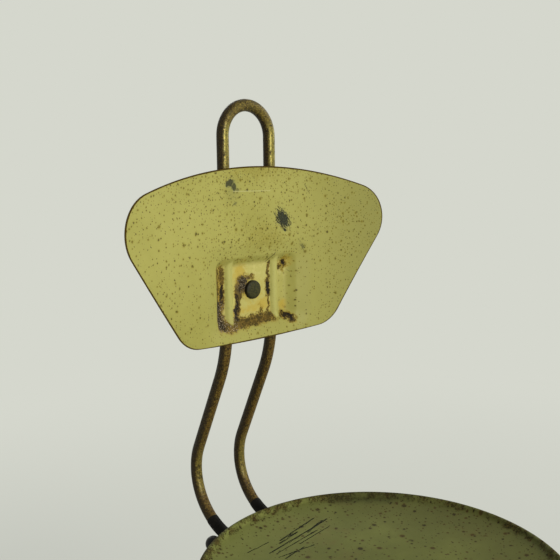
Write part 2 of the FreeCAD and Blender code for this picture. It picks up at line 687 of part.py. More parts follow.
for label, hand in (("rod_sleeve_left", -1), ("rod_sleeve_right", 1)):
    sleeve = new_body(label)
    line = new_sketch(sleeve, "YZ_Plane", f"{hand} * rod_x", name="Path")
    sweep = math.radians(size("sleeve_sweep"))
    line.addGeometry([
        Part.LineSegment(bend_start - Vector(size("sleeve_lead"), 0, 0), bend_start),
        Part.ArcOfCircle(small_circle, -math.pi / 2, -math.pi / 2 + sweep)], False)
    line.addConstraint(Sketcher.Constraint("Tangent", 0, 2, 1, 1))
    section = new_sketch(sleeve, "XZ_Plane", "-(bend_back - lower_bend - sleeve_lead)",
                         name="Section")
    ring(section, f"{hand} * rod_x", "rod_z", "rod_rad + sleeve_wall")
    ring(section, f"{hand} * rod_x", "rod_z", "rod_rad")
    doc.recompute()
    pipe = sleeve.newObject("PartDesign::AdditivePipe", "Pipe")
    pipe.Profile = section
    pipe.Spine = (line, ["Edge1", "Edge2"])
    doc.recompute()
    pieces.append(sleeve)

# ---------------------------------------------------------------- backrest plate
plate = new_body("back_plate")
half_chord = "(top_width / 2 + plate_spare)"
curve_in = f"plate_curve - sqrt(plate_curve * plate_curve - {half_chord} * {half_chord})"
edge_y = f"plate_face - ({curve_in})"
bowed = new_sketch(plate, "XY_Plane", "plate_low - plate_spare", name="Bowed")
outline(bowed, [
    (f"-{half_chord}", edge_y), (half_chord, edge_y),
    (half_chord, f"{edge_y} + plate_sheet"), (f"-{half_chord}", f"{edge_y} + plate_sheet")],
    {0: ("plate_curve", -1), 2: ("plate_curve", 1)})
crown_rise = "(top_arc - sqrt(top_arc * top_arc - top_width * top_width / 4))"
pad(plate, bowed, f"plate_rise + plate_drop + {crown_rise} + 2 * plate_spare")


def round_corner(tip, along, inward, centre, arc_radius, radius):
    """Tangent points of a corner radius between the straight side and an arc."""
    base = tip + inward * radius - centre
    half = base.dot(along)
    root = math.sqrt(half * half - base.dot(base) + (arc_radius - radius) ** 2)
    step = min(-half + root, -half - root, key=abs)
    middle = centre + base + along * step
    out = Vector(middle - centre).normalize()
    return middle - inward * radius, centre + out * arc_radius


def plate_corners():
    """Right-hand tangent points of the plate outline, from the bottom up."""
    low = Vector(size("low_width / 2"), size("plate_low"), 0)
    top = Vector(size("top_width / 2"), size("plate_high"), 0)
    along = Vector(top - low).normalize()
    inward = Vector(-along.y, along.x, 0)
    wide, flat = size("top_arc"), size("bottom_arc")
    top_centre = Vector(0, top.y - math.sqrt(wide ** 2 - top.x ** 2), 0)
    low_centre = Vector(0, low.y + math.sqrt(flat ** 2 - low.x ** 2), 0)
    low_side, low_arc = round_corner(low, along, inward, low_centre, flat, size("low_round"))
    top_side, top_end = round_corner(top, along, inward, top_centre, wide, size("top_round"))
    return [low_arc, low_side, top_side, top_end]


blank = new_sketch(plate, "XZ_Plane", "-(rod_back + 60)", name="Blank")
block(blank, "-top_width", "top_width", "plate_low - top_width", "plate_high + top_width")
right_side = plate_corners()
left_side = [Vector(-p.x, p.y, 0) for p in reversed(right_side)]
outline(blank, [(str(p.x), str(p.y)) for p in right_side + left_side], {
    0: ("low_round", 1), 2: ("top_round", 1), 3: ("top_arc", 1), 4: ("top_round", 1),
    6: ("low_round", 1), 7: ("bottom_arc", 1)})
cut(plate, blank, reverse=True)


def rounded_block(sketch, half, low, high, radius):
    """Upright rectangle with rounded corners, centred on X = 0."""
    outline(sketch, [
        (f"-({half}) + {radius}", low), (f"({half}) - {radius}", low),
        (half, f"{low} + {radius}"), (half, f"{high} - {radius}"),
        (f"({half}) - {radius}", high), (f"-({half}) + {radius}", high),
        (f"-({half})", f"{high} - {radius}"), (f"-({half})", f"{low} + {radius}")],
        {1: (radius, 1), 3: (radius, 1), 5: (radius, 1), 7: (radius, 1)})


# The pocket is a tapered pan behind the bowed sheet, hollowed from the front.
# Its sketches lie before the sheet, so they are wider there by the slope of the walls.
pan_ahead = "(2 * plate_sheet)"
grow = f"(plate_sheet / cos(wall_slope) + {pan_ahead} * tan(wall_slope))"
shell = new_sketch(plate, "XZ_Plane", f"-(plate_face - {pan_ahead})", name="PanOuter")
rounded_block(shell, f"pocket_width / 2 + {grow}", f"pocket_low - {grow}",
              f"pocket_high + {grow}", "pocket_round")
pad(plate, shell, f"pocket_depth + plate_sheet + {pan_ahead}", reverse=True,
    taper="-wall_slope")
pocket_tall = "(pocket_rise + pocket_drop)"
face = new_sketch(plate, "XY_Plane", "pocket_low - plate_spare", name="Face")
side_x = "(pocket_width / 2 + plate_spare)"
side_y = f"plate_face - (plate_curve - sqrt(plate_curve * plate_curve - {side_x} * {side_x}))"
outline(face, [(f"-{side_x}", "plate_face - plate_spare"), (side_x, "plate_face - plate_spare"),
               (side_x, side_y), (f"-{side_x}", side_y)], {2: ("plate_curve", 1)})
cut(plate, face, f"{pocket_tall} + 2 * plate_spare", reverse=True)
widen = f"({pan_ahead} * tan(wall_slope))"
hollow = new_sketch(plate, "XZ_Plane", f"-(plate_face - {pan_ahead})", name="PanInner")
rounded_block(hollow, f"pocket_width / 2 + {widen}", f"pocket_low - {widen}",
              f"pocket_high + {widen}", "pocket_round")
cut(plate, hollow, f"pocket_depth + {pan_ahead}", taper="-wall_slope")
# Two upright channels pressed forward into the pocket floor, nesting on the rods.
ribs = new_sketch(plate, "XY_Plane", "pocket_low + channel_end", name="Ribs")
for hand in (-1, 1):
    ring(ribs, f"{hand} * rod_x", "rod_back", "rod_rad + channel_play + plate_sheet")
pad(plate, ribs, f"{pocket_tall} - 2 * channel_end")
behind = new_sketch(plate, "XY_Plane", "pocket_low - plate_spare", name="Behind")
block(behind, "-pocket_width / 2", "pocket_width / 2", "floor_y + plate_sheet",
      "rod_back + rod_dia")
cut(plate, behind, f"{pocket_tall} + 2 * plate_spare", reverse=True)
channels = new_sketch(plate, "XY_Plane", "pocket_low - plate_spare", name="Channels")
for hand in (-1, 1):
    ring(channels, f"{hand} * rod_x", "rod_back", "rod_rad + channel_play")
cut(plate, channels, f"{pocket_tall} + 2 * plate_spare", reverse=True)
bolt_hole = new_sketch(plate, "XZ_Plane", "-plate_face", name="BoltHole")
ring(bolt_hole, "0", "face_z", "bolt_rad + bolt_play")
cut(plate, bolt_hole, "pocket_depth + 2 * plate_sheet")
pieces.append(plate)

# ---------------------------------------------------------------- clamp through the pocket
bolt_tip = "nut_front + wing_rise - floor_y - bolt_end"
bolt = turned("pocket_bolt", [
    ("0", "-head_rise"), ("head_dia / 2 - head_edge", "-head_rise"),
    ("head_dia / 2", "head_edge - head_rise"), ("head_dia / 2", "0"), ("bolt_rad", "0"),
    ("bolt_rad", bolt_tip), ("0", bolt_tip)])
pieces.append(place(bolt, ("0", "floor_y", "face_z"), TO_Y))

strap = new_body("rear_strap")
strap_face = new_sketch(strap, "XZ_Plane", "-strap_back")
rounded_block(strap_face, "strap_half", "face_z - strap_height / 2",
              "face_z + strap_height / 2", "strap_round")
ring(strap_face, "0", "face_z", "bolt_rad + fit")
pad(strap, strap_face, "strap_thick")
strap_grooves = new_sketch(strap, "XY_Plane", "face_z - strap_height")
for hand in (-1, 1):
    ring(strap_grooves, f"{hand} * rod_x", "rod_back", "rod_rad + fit")
cut(strap, strap_grooves, "strap_height * 2", reverse=True)
pieces.append(strap)

back_washer = turned("nut_washer", tube_points(
    "bolt_rad + fit", "washer_dia / 2", "0", "washer"))
pieces.append(place(back_washer, ("0", "strap_back", "face_z"), TO_Y))

nut_core = doc.addObject("Part::Cone", "nut_core")
bind(nut_core, "Radius1", "wing_hub / 2")
bind(nut_core, "Radius2", "wing_hub_top / 2")
bind(nut_core, "Height", "wing_hub_height")
web = doc.addObject("Part::Box", "wing_web")
bind(web, "Length", "wing_span - 2 * wing_tip")
bind(web, "Width", "wing_thick")
bind(web, "Height", "wing_tip")
place(web, ("wing_tip - wing_span / 2", "-wing_thick / 2", "wing_foot"))
wing_parts = [nut_core, web]
for hand in (-1, 1):
    wing_parts.append(drum(
        "wing_tip", "wing_tip", "wing_thick",
        (f"{hand} * (wing_span / 2 - wing_tip)", "wing_thick / 2", "wing_rise - wing_tip"),
        Rotation(Vector(1, 0, 0), 90)))
nut_solid = merge("nut_solid", wing_parts)
nut_hole = drum("nut_hole", "bolt_rad + fit", "wing_rise + 2", ("0", "0", "-1"))
wing_nut = subtract("wing_nut", nut_solid, nut_hole)
pieces.append(place(wing_nut, ("0", "nut_front + free", "face_z"), TO_Y))

# ---------------------------------------------------------------- check and write
doc.recompute()
for item in doc.Objects:
    if "Invalid" in item.State or "Error" in item.State:
        raise RuntimeError(f"{item.Label} failed: {item.State}")
labels = [piece.Label for piece in pieces]
if len(set(labels)) != len(labels):
    raise RuntimeError("two sub-parts share a label")
for piece in pieces:
    if piece.Shape.isNull() or not piece.Shape.isValid() or not piece.Shape.Solids:
        raise RuntimeError(f"{piece.Label} has no valid solid")
for piece in pieces:
    piece.Shape.exportStep(f"parts/{piece.Label}.step")
    print(piece.Label, len(piece.Shape.Solids), round(piece.Shape.Volume))
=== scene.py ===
import json
import math

import bmesh
import bpy
import numpy as np
from mathutils import Matrix, Vector


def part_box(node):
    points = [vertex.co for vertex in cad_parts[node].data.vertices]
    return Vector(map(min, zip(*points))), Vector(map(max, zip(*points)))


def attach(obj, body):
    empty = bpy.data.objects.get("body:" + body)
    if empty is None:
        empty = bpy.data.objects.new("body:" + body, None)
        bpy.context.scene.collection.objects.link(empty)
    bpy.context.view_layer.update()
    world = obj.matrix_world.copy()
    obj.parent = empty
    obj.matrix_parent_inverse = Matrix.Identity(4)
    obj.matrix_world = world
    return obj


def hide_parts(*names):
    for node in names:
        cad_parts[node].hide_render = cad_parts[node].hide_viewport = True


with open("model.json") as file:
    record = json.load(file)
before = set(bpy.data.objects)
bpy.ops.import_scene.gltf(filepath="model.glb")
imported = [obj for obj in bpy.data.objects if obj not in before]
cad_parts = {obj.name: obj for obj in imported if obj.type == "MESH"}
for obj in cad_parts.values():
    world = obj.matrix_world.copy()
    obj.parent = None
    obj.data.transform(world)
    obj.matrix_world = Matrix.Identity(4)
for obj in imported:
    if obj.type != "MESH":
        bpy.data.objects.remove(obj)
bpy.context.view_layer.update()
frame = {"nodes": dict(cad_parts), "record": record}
rng = np.random.default_rng(7)

MM = 0.001

# sizes in millimetres, heights from the floor
SEAT_UP = 480              # seat rim
SEAT = SEAT_UP * MM
ROD_RADIUS = 6.0
ROD_X = 30                 # half the distance between the rod's legs
ROD_TIP = -87.2            # Y of the legs' front ends, under the seat
ROD_LOW = 456.0            # height of the legs under the seat
ROD_BACK = 176             # Y of the upright legs
LOWER_BEND = 60.0          # radius of the bend behind the seat
LOWER_TURN = (172.0, ROD_LOW + LOWER_BEND)    # its centre, as (Y, height)
UPPER_BEND = 140.0         # radius of the bend below the plate
RAKE = 25.0                # lean of the legs between the bends, in degrees
CROWN_UP = 864             # where the loop's crown starts
SLEEVE_Y = 150.6           # where a rod sleeve starts
SLEEVE_SWEEP = 35.4        # how far it follows the lower bend, in degrees
CLAMP_UP = 714             # axis of the clamp behind the plate
BOLT_UP = 712.6            # middle of the bolt's worn head


# ---------------------------------------------------------------- node graph helper
class Graph:
    """Builds a node tree with plain arithmetic on sockets."""

    def __init__(self, owner, output="ShaderNodeOutputMaterial"):
        self.owner = owner
        owner.use_nodes = True
        self.tree = owner.node_tree
        self.tree.nodes.clear()
        self.out = self.tree.nodes.new(output)

    @classmethod
    def material(cls, name):
        """Graph of a new material."""
        return cls(bpy.data.materials.new(name))

    def node(self, kind, inputs=None, **settings):
        """New node with its settings and inputs."""
        made = self.tree.nodes.new(kind)
        for key, value in settings.items():
            setattr(made, key, value)
        for key, value in (inputs or {}).items():
            self.feed(made.inputs[key], value)
        return made

    def feed(self, socket, value):
        """Links a value to a socket, or sets it there when it is a constant."""
        if isinstance(value, Sock):
            self.tree.links.new(value.raw, socket)
        elif isinstance(value, bpy.types.NodeSocket):
            self.tree.links.new(value, socket)
        else:
            socket.default_value = value

    def math(self, operation, *values, clamp=False):
        made = self.node("ShaderNodeMath", operation=operation, use_clamp=clamp)
        for socket, value in zip(made.inputs, values):
            self.feed(socket, value)
        return Sock(self, made.outputs[0])

    def place(self):
        """Object coordinates, in metres, as three sockets."""
        coords = self.node("ShaderNodeTexCoord").outputs["Object"]
        split = self.node("ShaderNodeSeparateXYZ", {"Vector": coords})
        return coords, [Sock(self, split.outputs[i]) for i in range(3)]

    def facing(self, x, y, z):
        """How far the surface faces a fixed direction of the object, -1 to 1."""
        normal = self.node("ShaderNodeTexCoord").outputs["Normal"]
        made = self.node("ShaderNodeVectorMath", {0: normal, 1: (x, y, z)},
                         operation="DOT_PRODUCT")
        return Sock(self, made.outputs["Value"])

    def combine(self, x, y, z):
        made = self.node("ShaderNodeCombineXYZ", {0: x, 1: y, 2: z})
        return made.outputs[0]

    def noise(self, vector, scale, detail=3.0, rough=0.55):
        made = self.node("ShaderNodeTexNoise", {
            "Vector": vector, "Scale": scale, "Detail": detail, "Roughness": rough})
        return Sock(self, made.outputs["Fac"])

    def cells(self, vector, flat=False):
        """Distance to the nearest cell point, and three random numbers of that cell."""
        made = self.node("ShaderNodeTexVoronoi", {"Vector": vector, "Scale": 1.0},
                         voronoi_dimensions="2D" if flat else "3D")
        pick = self.node("ShaderNodeSeparateColor", {"Color": made.outputs["Color"]})
        return Sock(self, made.outputs["Distance"]), [Sock(self, item) for item in pick.outputs]

    def attribute(self, name):
        made = self.node("ShaderNodeAttribute", attribute_name=name)
        return Sock(self, made.outputs["Fac"])

    def step(self, value, low, high):
        """Smooth 0 to 1 as value goes from low to high; low may be above high."""
        made = self.node("ShaderNodeMapRange", interpolation_type="SMOOTHSTEP")
        if not isinstance(low, Sock) and not isinstance(high, Sock) and low > high:
            low, high, ends = high, low, (1.0, 0.0)
        else:
            ends = (0.0, 1.0)
        for key, item in (("Value", value), ("From Min", low), ("From Max", high),
                          ("To Min", ends[0]), ("To Max", ends[1])):
            self.feed(made.inputs[key], item)
        return Sock(self, made.outputs["Result"])

    def mix(self, factor, first, second):
        """Blend of two colours."""
        made = self.node("ShaderNodeMix", data_type="RGBA")
        self.feed(made.inputs["Factor"], factor)
        for socket, value in ((made.inputs[6], first), (made.inputs[7], second)):
            self.feed(socket, value if not isinstance(value, tuple) else (*value, 1.0))
        return Sock(self, made.outputs[2])

    def blend(self, factor, first, second):
        """Blend of two numbers."""
        made = self.node("ShaderNodeMix", {"Factor": factor, "A": first, "B": second})
        return Sock(self, made.outputs[0])

    def bump(self, height, distance, strength):
        made = self.node("ShaderNodeBump", {"Height": height, "Distance": distance,
                                            "Strength": strength})
        return Sock(self, made.outputs[0])

    def seen_directly(self):
        """1 for camera, glossy and transmission rays, 0 for the rays that light the object."""
        rays = self.node("ShaderNodeLightPath").outputs
        return union([Sock(self, rays[f"Is {kind} Ray"])
                      for kind in ("Camera", "Glossy", "Transmission")])

    def surface(self, shader):
        """Wires a shader node to the output and gives back what the tree belongs to."""
        self.tree.links.new(shader.outputs[0], self.out.inputs[0])
        return self.owner

    def finish(self, **inputs):
        """Principled shader with the given inputs."""
        names = {"color": "Base Color", "rough": "Roughness", "metal": "Metallic",
                 "normal": "Normal", "specular": "Specular IOR Level"}
        return self.surface(self.node("ShaderNodeBsdfPrincipled", {
            names[key]: value for key, value in inputs.items()}))


class Sock:
    """A number or colour on its way through the node tree."""

    def __init__(self, graph, raw):
        self.graph = graph
        self.raw = raw

    def __add__(self, other):
        return self.graph.math("ADD", self, other)

    def __radd__(self, other):
        return self.graph.math("ADD", other, self)

    def __sub__(self, other):
        return self.graph.math("SUBTRACT", self, other)

    def __rsub__(self, other):
        return self.graph.math("SUBTRACT", other, self)

    def __mul__(self, other):
        return self.graph.math("MULTIPLY", self, other)

    def __rmul__(self, other):
        return self.graph.math("MULTIPLY", other, self)

    def __truediv__(self, other):
        return self.graph.math("DIVIDE", self, other)

    def abs(self):
        return self.graph.math("ABSOLUTE", self)

    def min(self, other):
        return self.graph.math("MINIMUM", self, other)

    def max(self, other):
        return self.graph.math("MAXIMUM", self, other)

    def clamp(self):
        return self.graph.math("ADD", self, 0.0, clamp=True)


def srgb(red, green, blue):
    """Linear colour of an sRGB colour given as 0 to 255."""
    def one(v):
        v /= 255
        return v / 12.92 if v <= 0.04045 else ((v + 0.055) / 1.055) ** 2.4
    return (one(red), one(green), one(blue))


def radial(g, first, second):
    """Distance from the axis where both coordinates are 0."""
    return g.math("SQRT", first * first + second * second)


def segment(g, px, pz, a, b, width):
    """How near a surface point is to the line a-b in a plane: 1 on it, 0 at width."""
    (ax, az), (bx, bz) = a, b
    length = math.hypot(bx - ax, bz - az)
    ux, uz = (bx - ax) / length, (bz - az) / length
    along = ((px - ax) * ux + (pz - az) * uz).max(0.0).min(length)
    off_x = px - (ax + along * ux)
    off_z = pz - (az + along * uz)
    return g.step(radial(g, off_x, off_z), float(width), 0.0)


def turned(first, second, degrees):
    """Two coordinates measured along axes that are turned by an angle."""
    c, s = math.cos(math.radians(degrees)), math.sin(math.radians(degrees))
    return first * c + second * s, second * c - first * s


def blot(g, px, pz, centre, reach, tilt=0.0):
    """Soft oval: 1 in its middle, 0 at its rim; tilt turns it, in degrees."""
    along, across = turned(px - centre[0], pz - centre[1], tilt)
    u, v = along / reach[0], across / reach[1]
    return (1.0 - radial(g, u, v)).clamp()


def union(masks):
    """Largest of several masks."""
    result = masks[0]
    for mask in masks[1:]:
        result = result.max(mask)
    return result


# ---------------------------------------------------------------- materials
def flat_specks(g, px, pz, seed, cell, share, small, large, crowd):
    """Ragged specks on a plane in mm: how much each point is covered, and a colour pick."""
    wander = g.noise(g.combine(px, pz, seed), 0.9, 2.0) - 0.5
    drift = g.noise(g.combine(pz, px, seed + 4.0), 0.9, 2.0) - 0.5
    spot = g.combine((px + wander * 1.5) / cell + seed, (pz + drift * 1.5) / cell - seed, 0.0)
    far, (pick, grow, tint) = g.cells(spot, flat=True)
    chosen = g.step(pick + crowd * 0.5, 1.0 - share, 1.06 - share)
    size = (small + (large - small) * grow * grow * grow) / cell
    body = g.step(far, size * 1.35, size * 0.6) * chosen
    halo = g.step(far, size * 2.6, size * 0.8) * chosen * g.step(grow, 0.3, 0.9)
    return body, halo, tint


def enamel(g, at, light, dark, base):
    """Old enamel paint: its mottled colour and the fine grain of its surface."""
    tone = g.noise(at, 11.0, 4.0, 0.6)
    fine = g.noise(at, 190.0, 3.0, 0.6)
    colour = g.mix(g.step(tone, 0.3, 0.7), dark, light)
    return g.mix(g.step(fine, 0.35, 0.75) * 0.5, colour, base), fine


def specked(g, colour, layers, dark, mid, light):
    """Lays the speck layers over a colour; returns it and the bare share."""
    cover = None
    for body, halo, tint in layers:
        colour = g.mix(halo * 0.35, colour, light)
        shade = g.mix(g.step(tint, 0.25, 0.95), mid, dark)
        colour = g.mix(body * 0.85, colour, shade)
        cover = body if cover is None else cover.max(body)
    return colour, cover


def plate_material():
    """Yellow-green enamel of the backrest: specks, chips, rust in and round the pocket, painted
    shade toward +X and a painted highlight on the channel ribs.
    """
    g = Graph.material("plate_enamel")
    at, (x, _, z) = g.place()
    px, pz = x * 1000.0, (z - SEAT) * 1000.0
    colour, fine = enamel(g, at, srgb(174, 169, 90), srgb(160, 155, 76), srgb(168, 163, 83))
    # painted shade: the plate is darkened toward +X, in place of light falling off across the curved
    # sheet
    painted_shade_x = g.step(px, 30.0, 175.0) * 0.75 + g.step(px, -40.0, 60.0) * 0.18
    colour = g.mix(painted_shade_x, colour, srgb(142, 139, 72))
    plane = g.combine(px, pz, 0.0)
    cloud = g.noise(plane, 0.035, 4.0, 0.6)
    coarse = g.noise(plane, 0.16, 5.0, 0.72)
    grit = g.noise(plane, 0.75, 3.0, 0.7)
    edge, pocket, rib = g.attribute("edge"), g.attribute("pocket"), g.attribute("rib")
    soot, ochre, amber = srgb(18, 13, 7), srgb(164, 136, 36), srgb(188, 158, 52)

    # rust specks, thicker along the top and over the pocket
    crowd = union([blot(g, px, pz, (-20, 345), (150, 60)), blot(g, px, pz, (8, 283), (90, 42)),
                   blot(g, px, pz, (120, 295), (70, 60)) * 0.8]) + (cloud - 0.5) * 1.1
    tan = union([blot(g, px, pz, (10, 285), (58, 26)), blot(g, px, pz, (-5, 352), (110, 24))])
    colour = g.mix(g.step(tan + (coarse - 0.5) * 1.8, 0.35, 0.95) * 0.40, colour,
                   srgb(142, 130, 44))
    colour, cover = specked(g, colour, [
        flat_specks(g, px, pz, 3.1, 9.5, 0.48, 0.60, 1.50, crowd),
        flat_specks(g, px, pz, 7.7, 5.2, 0.42, 0.45, 1.00, crowd),
        flat_specks(g, px, pz, 12.4, 3.0, 0.26, 0.35, 0.75, crowd)],
        srgb(62, 52, 16), srgb(112, 100, 28), srgb(146, 134, 44))

    # the pocket floor is cream where the paint never saw light, ochre where it is stained
    floor = pocket * (1.0 - rib)
    between = g.step(px, 40.0, 30.0) * 0.6 + 0.3
    colour = g.mix(floor * between, colour, srgb(192, 184, 106))
    # painted highlight: the raised channel ribs are painted lighter, as if their crests catch the
    # light
    colour = g.mix(rib * 0.8, colour, srgb(186, 182, 104))
    tea = union([blot(g, px, pz, (-16, 250), (15, 22)) * 1.3, blot(g, px, pz, (-42, 236), (14, 46)),
                 blot(g, px, pz, (14, 216), (18, 14)) * 1.2, blot(g, px, pz, (43, 257), (14, 16)),
                 blot(g, px, pz, (41, 212), (9, 12)) * 1.2, blot(g, px, pz, (0, 231), (28, 26)),
                 segment(g, px, pz, (-30, 212), (24, 214), 10.0) * 0.8])
    tea = g.step(tea + (coarse - 0.5) * 1.5 + (grit - 0.5) * 0.5, 0.30, 0.95)
    colour = g.mix(tea * 0.65 * (1.0 - rib), colour, amber)
    bloom = g.step(coarse, 0.52, 0.40) * floor * g.step(px, -26.0, 0.0) * g.step(pz, 236.0, 250.0)
    colour = g.mix(bloom * 0.5, colour, srgb(206, 198, 128))

    # rust grown along the lower wall, beside the channels and round the bolt
    sway = g.noise(g.combine(px, pz, 5.0), 0.13, 3.0, 0.7) - 0.5
    lift = g.noise(g.combine(px, pz, 9.0), 0.13, 3.0, 0.7) - 0.5
    rx, rz = px + sway * 13.0, pz + lift * 13.0
    grown = union([
        segment(g, rx, rz, (-45, 201), (-30, 200), 10.5) * 1.35,
        segment(g, rx, rz, (-30, 201), (23, 203), 10.5) * 1.1,
        segment(g, rx, rz, (-44, 221), (-44, 203), 11.5) * 1.6,
        segment(g, rx, rz, (-39.5, 257), (-39.5, 222), 6.5) * 1.25,
        segment(g, rx, rz, (-46, 256), (-46, 224), 10.0) * 0.80,
        segment(g, rx, rz, (-20, 232), (-20, 206), 6.5) * 1.25,
        segment(g, rx, rz, (-17, 224), (-14, 232), 5.0),
        blot(g, rx, rz, (-13, 238), (13, 15)) * 2.0,
        segment(g, rx, rz, (-8, 245), (2, 246), 4.5),
        segment(g, rx, rz, (21, 240), (21, 225), 6.0) * 1.2,
        segment(g, rx, rz, (22, 258), (22, 208), 3.4),
        segment(g, rx, rz, (10, 216), (14, 207), 5.0) * 0.7,
        blot(g, rx, rz, (42, 255), (9, 10)) * 1.35,
        segment(g, rx, rz, (39, 202), (47, 199), 10.0) * 1.2])
    ragged = (coarse - 0.5) * 1.2 + (grit - 0.5) * 1.5
    thick = union([
        segment(g, rx, rz, (-45, 222), (-45, 201), 9.0) * 1.2,
        segment(g, rx, rz, (-40, 240), (-40, 222), 4.5),
        segment(g, rx, rz, (-21, 228), (-21, 207), 5.0) * 1.1,
        blot(g, rx, rz, (-12, 240), (10, 12)) * 1.7,
        segment(g, rx, rz, (21, 236), (21, 226), 4.6) * 1.3,
        blot(g, rx, rz, (42, 255), (6, 7)) * 1.5,
        segment(g, rx, rz, (40, 202), (46, 200), 7.0) * 1.1])
    front = g.step(g.facing(0.0, -1.0, 0.0), -0.35, -0.05)
    clear = (1.0 - rib * 0.90) * (front * 0.85 + 0.15)
    stain = g.step(grown + ragged * 0.6, 0.16, 0.70) * clear
    rust = g.step(grown + ragged * 1.2, 0.42, 0.90) * clear
    deep = g.step(thick + ragged * 1.3, 0.44, 0.86) * clear
    tone = g.mix(g.step(grit + (coarse - 0.5) * 0.9, 0.38, 0.56), srgb(116, 90, 34),
                 srgb(40, 28, 10))
    colour = g.mix(stain * 0.7, colour, ochre)
    colour = g.mix(rust * 0.88, colour, tone)
    colour = g.mix(deep * 0.92, colour, soot)
    flecks = g.step(grit, 0.55, 0.61)
    flake = flecks * g.step(pz, 230.0, 216.0) * g.step(px, -18.0, -30.0)
    flake = flake.max(flecks * blot(g, px, pz, (-12, 240), (14, 16)) * 0.9)
    colour = g.mix((rust * flake * 0.8).clamp(), colour, srgb(206, 186, 150))

    # two chips down to dark metal, broken up by strokes, and a scraped patch
    along, across = turned(px, pz, -52)
    strokes = g.noise(g.combine(along * 0.16, across * 0.75, 3.0), 1.0, 4.0, 0.7)
    chip = union([
        g.step(blot(g, px, pz, centre, reach, tilt) * gain + (field - 0.5) * break_up,
               low, high) * share
        for centre, reach, tilt, gain, field, break_up, low, high, share in (
            ((31.5, 302.5), (18.5, 12.0), -52, 1.7, strokes, 4.0, 0.62, 0.82, 1.0),
            ((34.0, 291.0), (5.0, 3.0), -40, 1.3, strokes, 2.4, 0.55, 0.75, 1.0),
            ((-37.0, 339.5), (10.5, 6.0), 30, 1.7, coarse, 2.2, 0.56, 1.00, 0.9),
            ((-32.0, 336.0), (5.5, 8.0), 0, 1.6, coarse, 2.2, 0.60, 1.00, 0.85),
            ((-27.0, 333.0), (7.0, 4.0), 0, 1.4, coarse, 2.2, 0.75, 1.20, 0.5),
            ((58.0, 273.0), (14.0, 4.6), -52, 1.0, strokes, 2.4, 0.55, 0.85, 0.6),
            ((-31.0, 320.0), (8.0, 3.4), 25, 1.0, coarse, 2.0, 0.50, 0.90, 0.6))]) * front
    colour = g.mix(blot(g, px, pz, (-34, 332), (13, 17)) * 0.30, colour, srgb(112, 116, 66))
    metal = g.mix(g.step(grit, 0.4, 0.65), srgb(22, 26, 22), srgb(52, 58, 50))
    colour = g.mix(chip * 0.95, colour, metal)
    pale = segment(g, px, pz, (-33, 331.6), (15, 331), 0.8) * g.step(coarse, 0.30, 0.45)
    colour = g.mix(pale * 0.45, colour, srgb(206, 204, 146))
    hair = union([segment(g, px, pz, (17.5, 259.5), (25, 268), 1.0),
                  segment(g, px, pz, (61, 336), (67, 327), 1.1) * g.step(grit, 0.35, 0.6)])
    colour = g.mix(hair * 0.85, colour, srgb(48, 34, 12))

    # rusty rim of the sheet, with a stain that creeps in from it
    creep = g.step(edge + (coarse - 0.5) * 0.9, 0.45, 1.0) * g.step(pz, 180.0, 320.0)
    colour = g.mix(creep * 0.45, colour, srgb(140, 118, 40))
    worn = g.step(edge + (coarse - 0.5) * 0.12 + (grit - 0.5) * 0.12, 0.54, 0.70)
    colour = g.mix(worn * 0.92, colour, srgb(62, 44, 14))
    bare = (chip + rust * 0.7 + worn * 0.4).clamp()
    height = fine * 0.08 - cover * 0.3 - chip * 0.8 + rust * grit * 1.6 - pale * 0.2
    rough = g.blend(bare, 0.42 + fine * 0.12, 0.85)
    return g.finish(color=colour, rough=rough, metal=0.0, specular=0.22 - worn * 0.20,
                    normal=g.bump(height, 0.0005, 0.6))


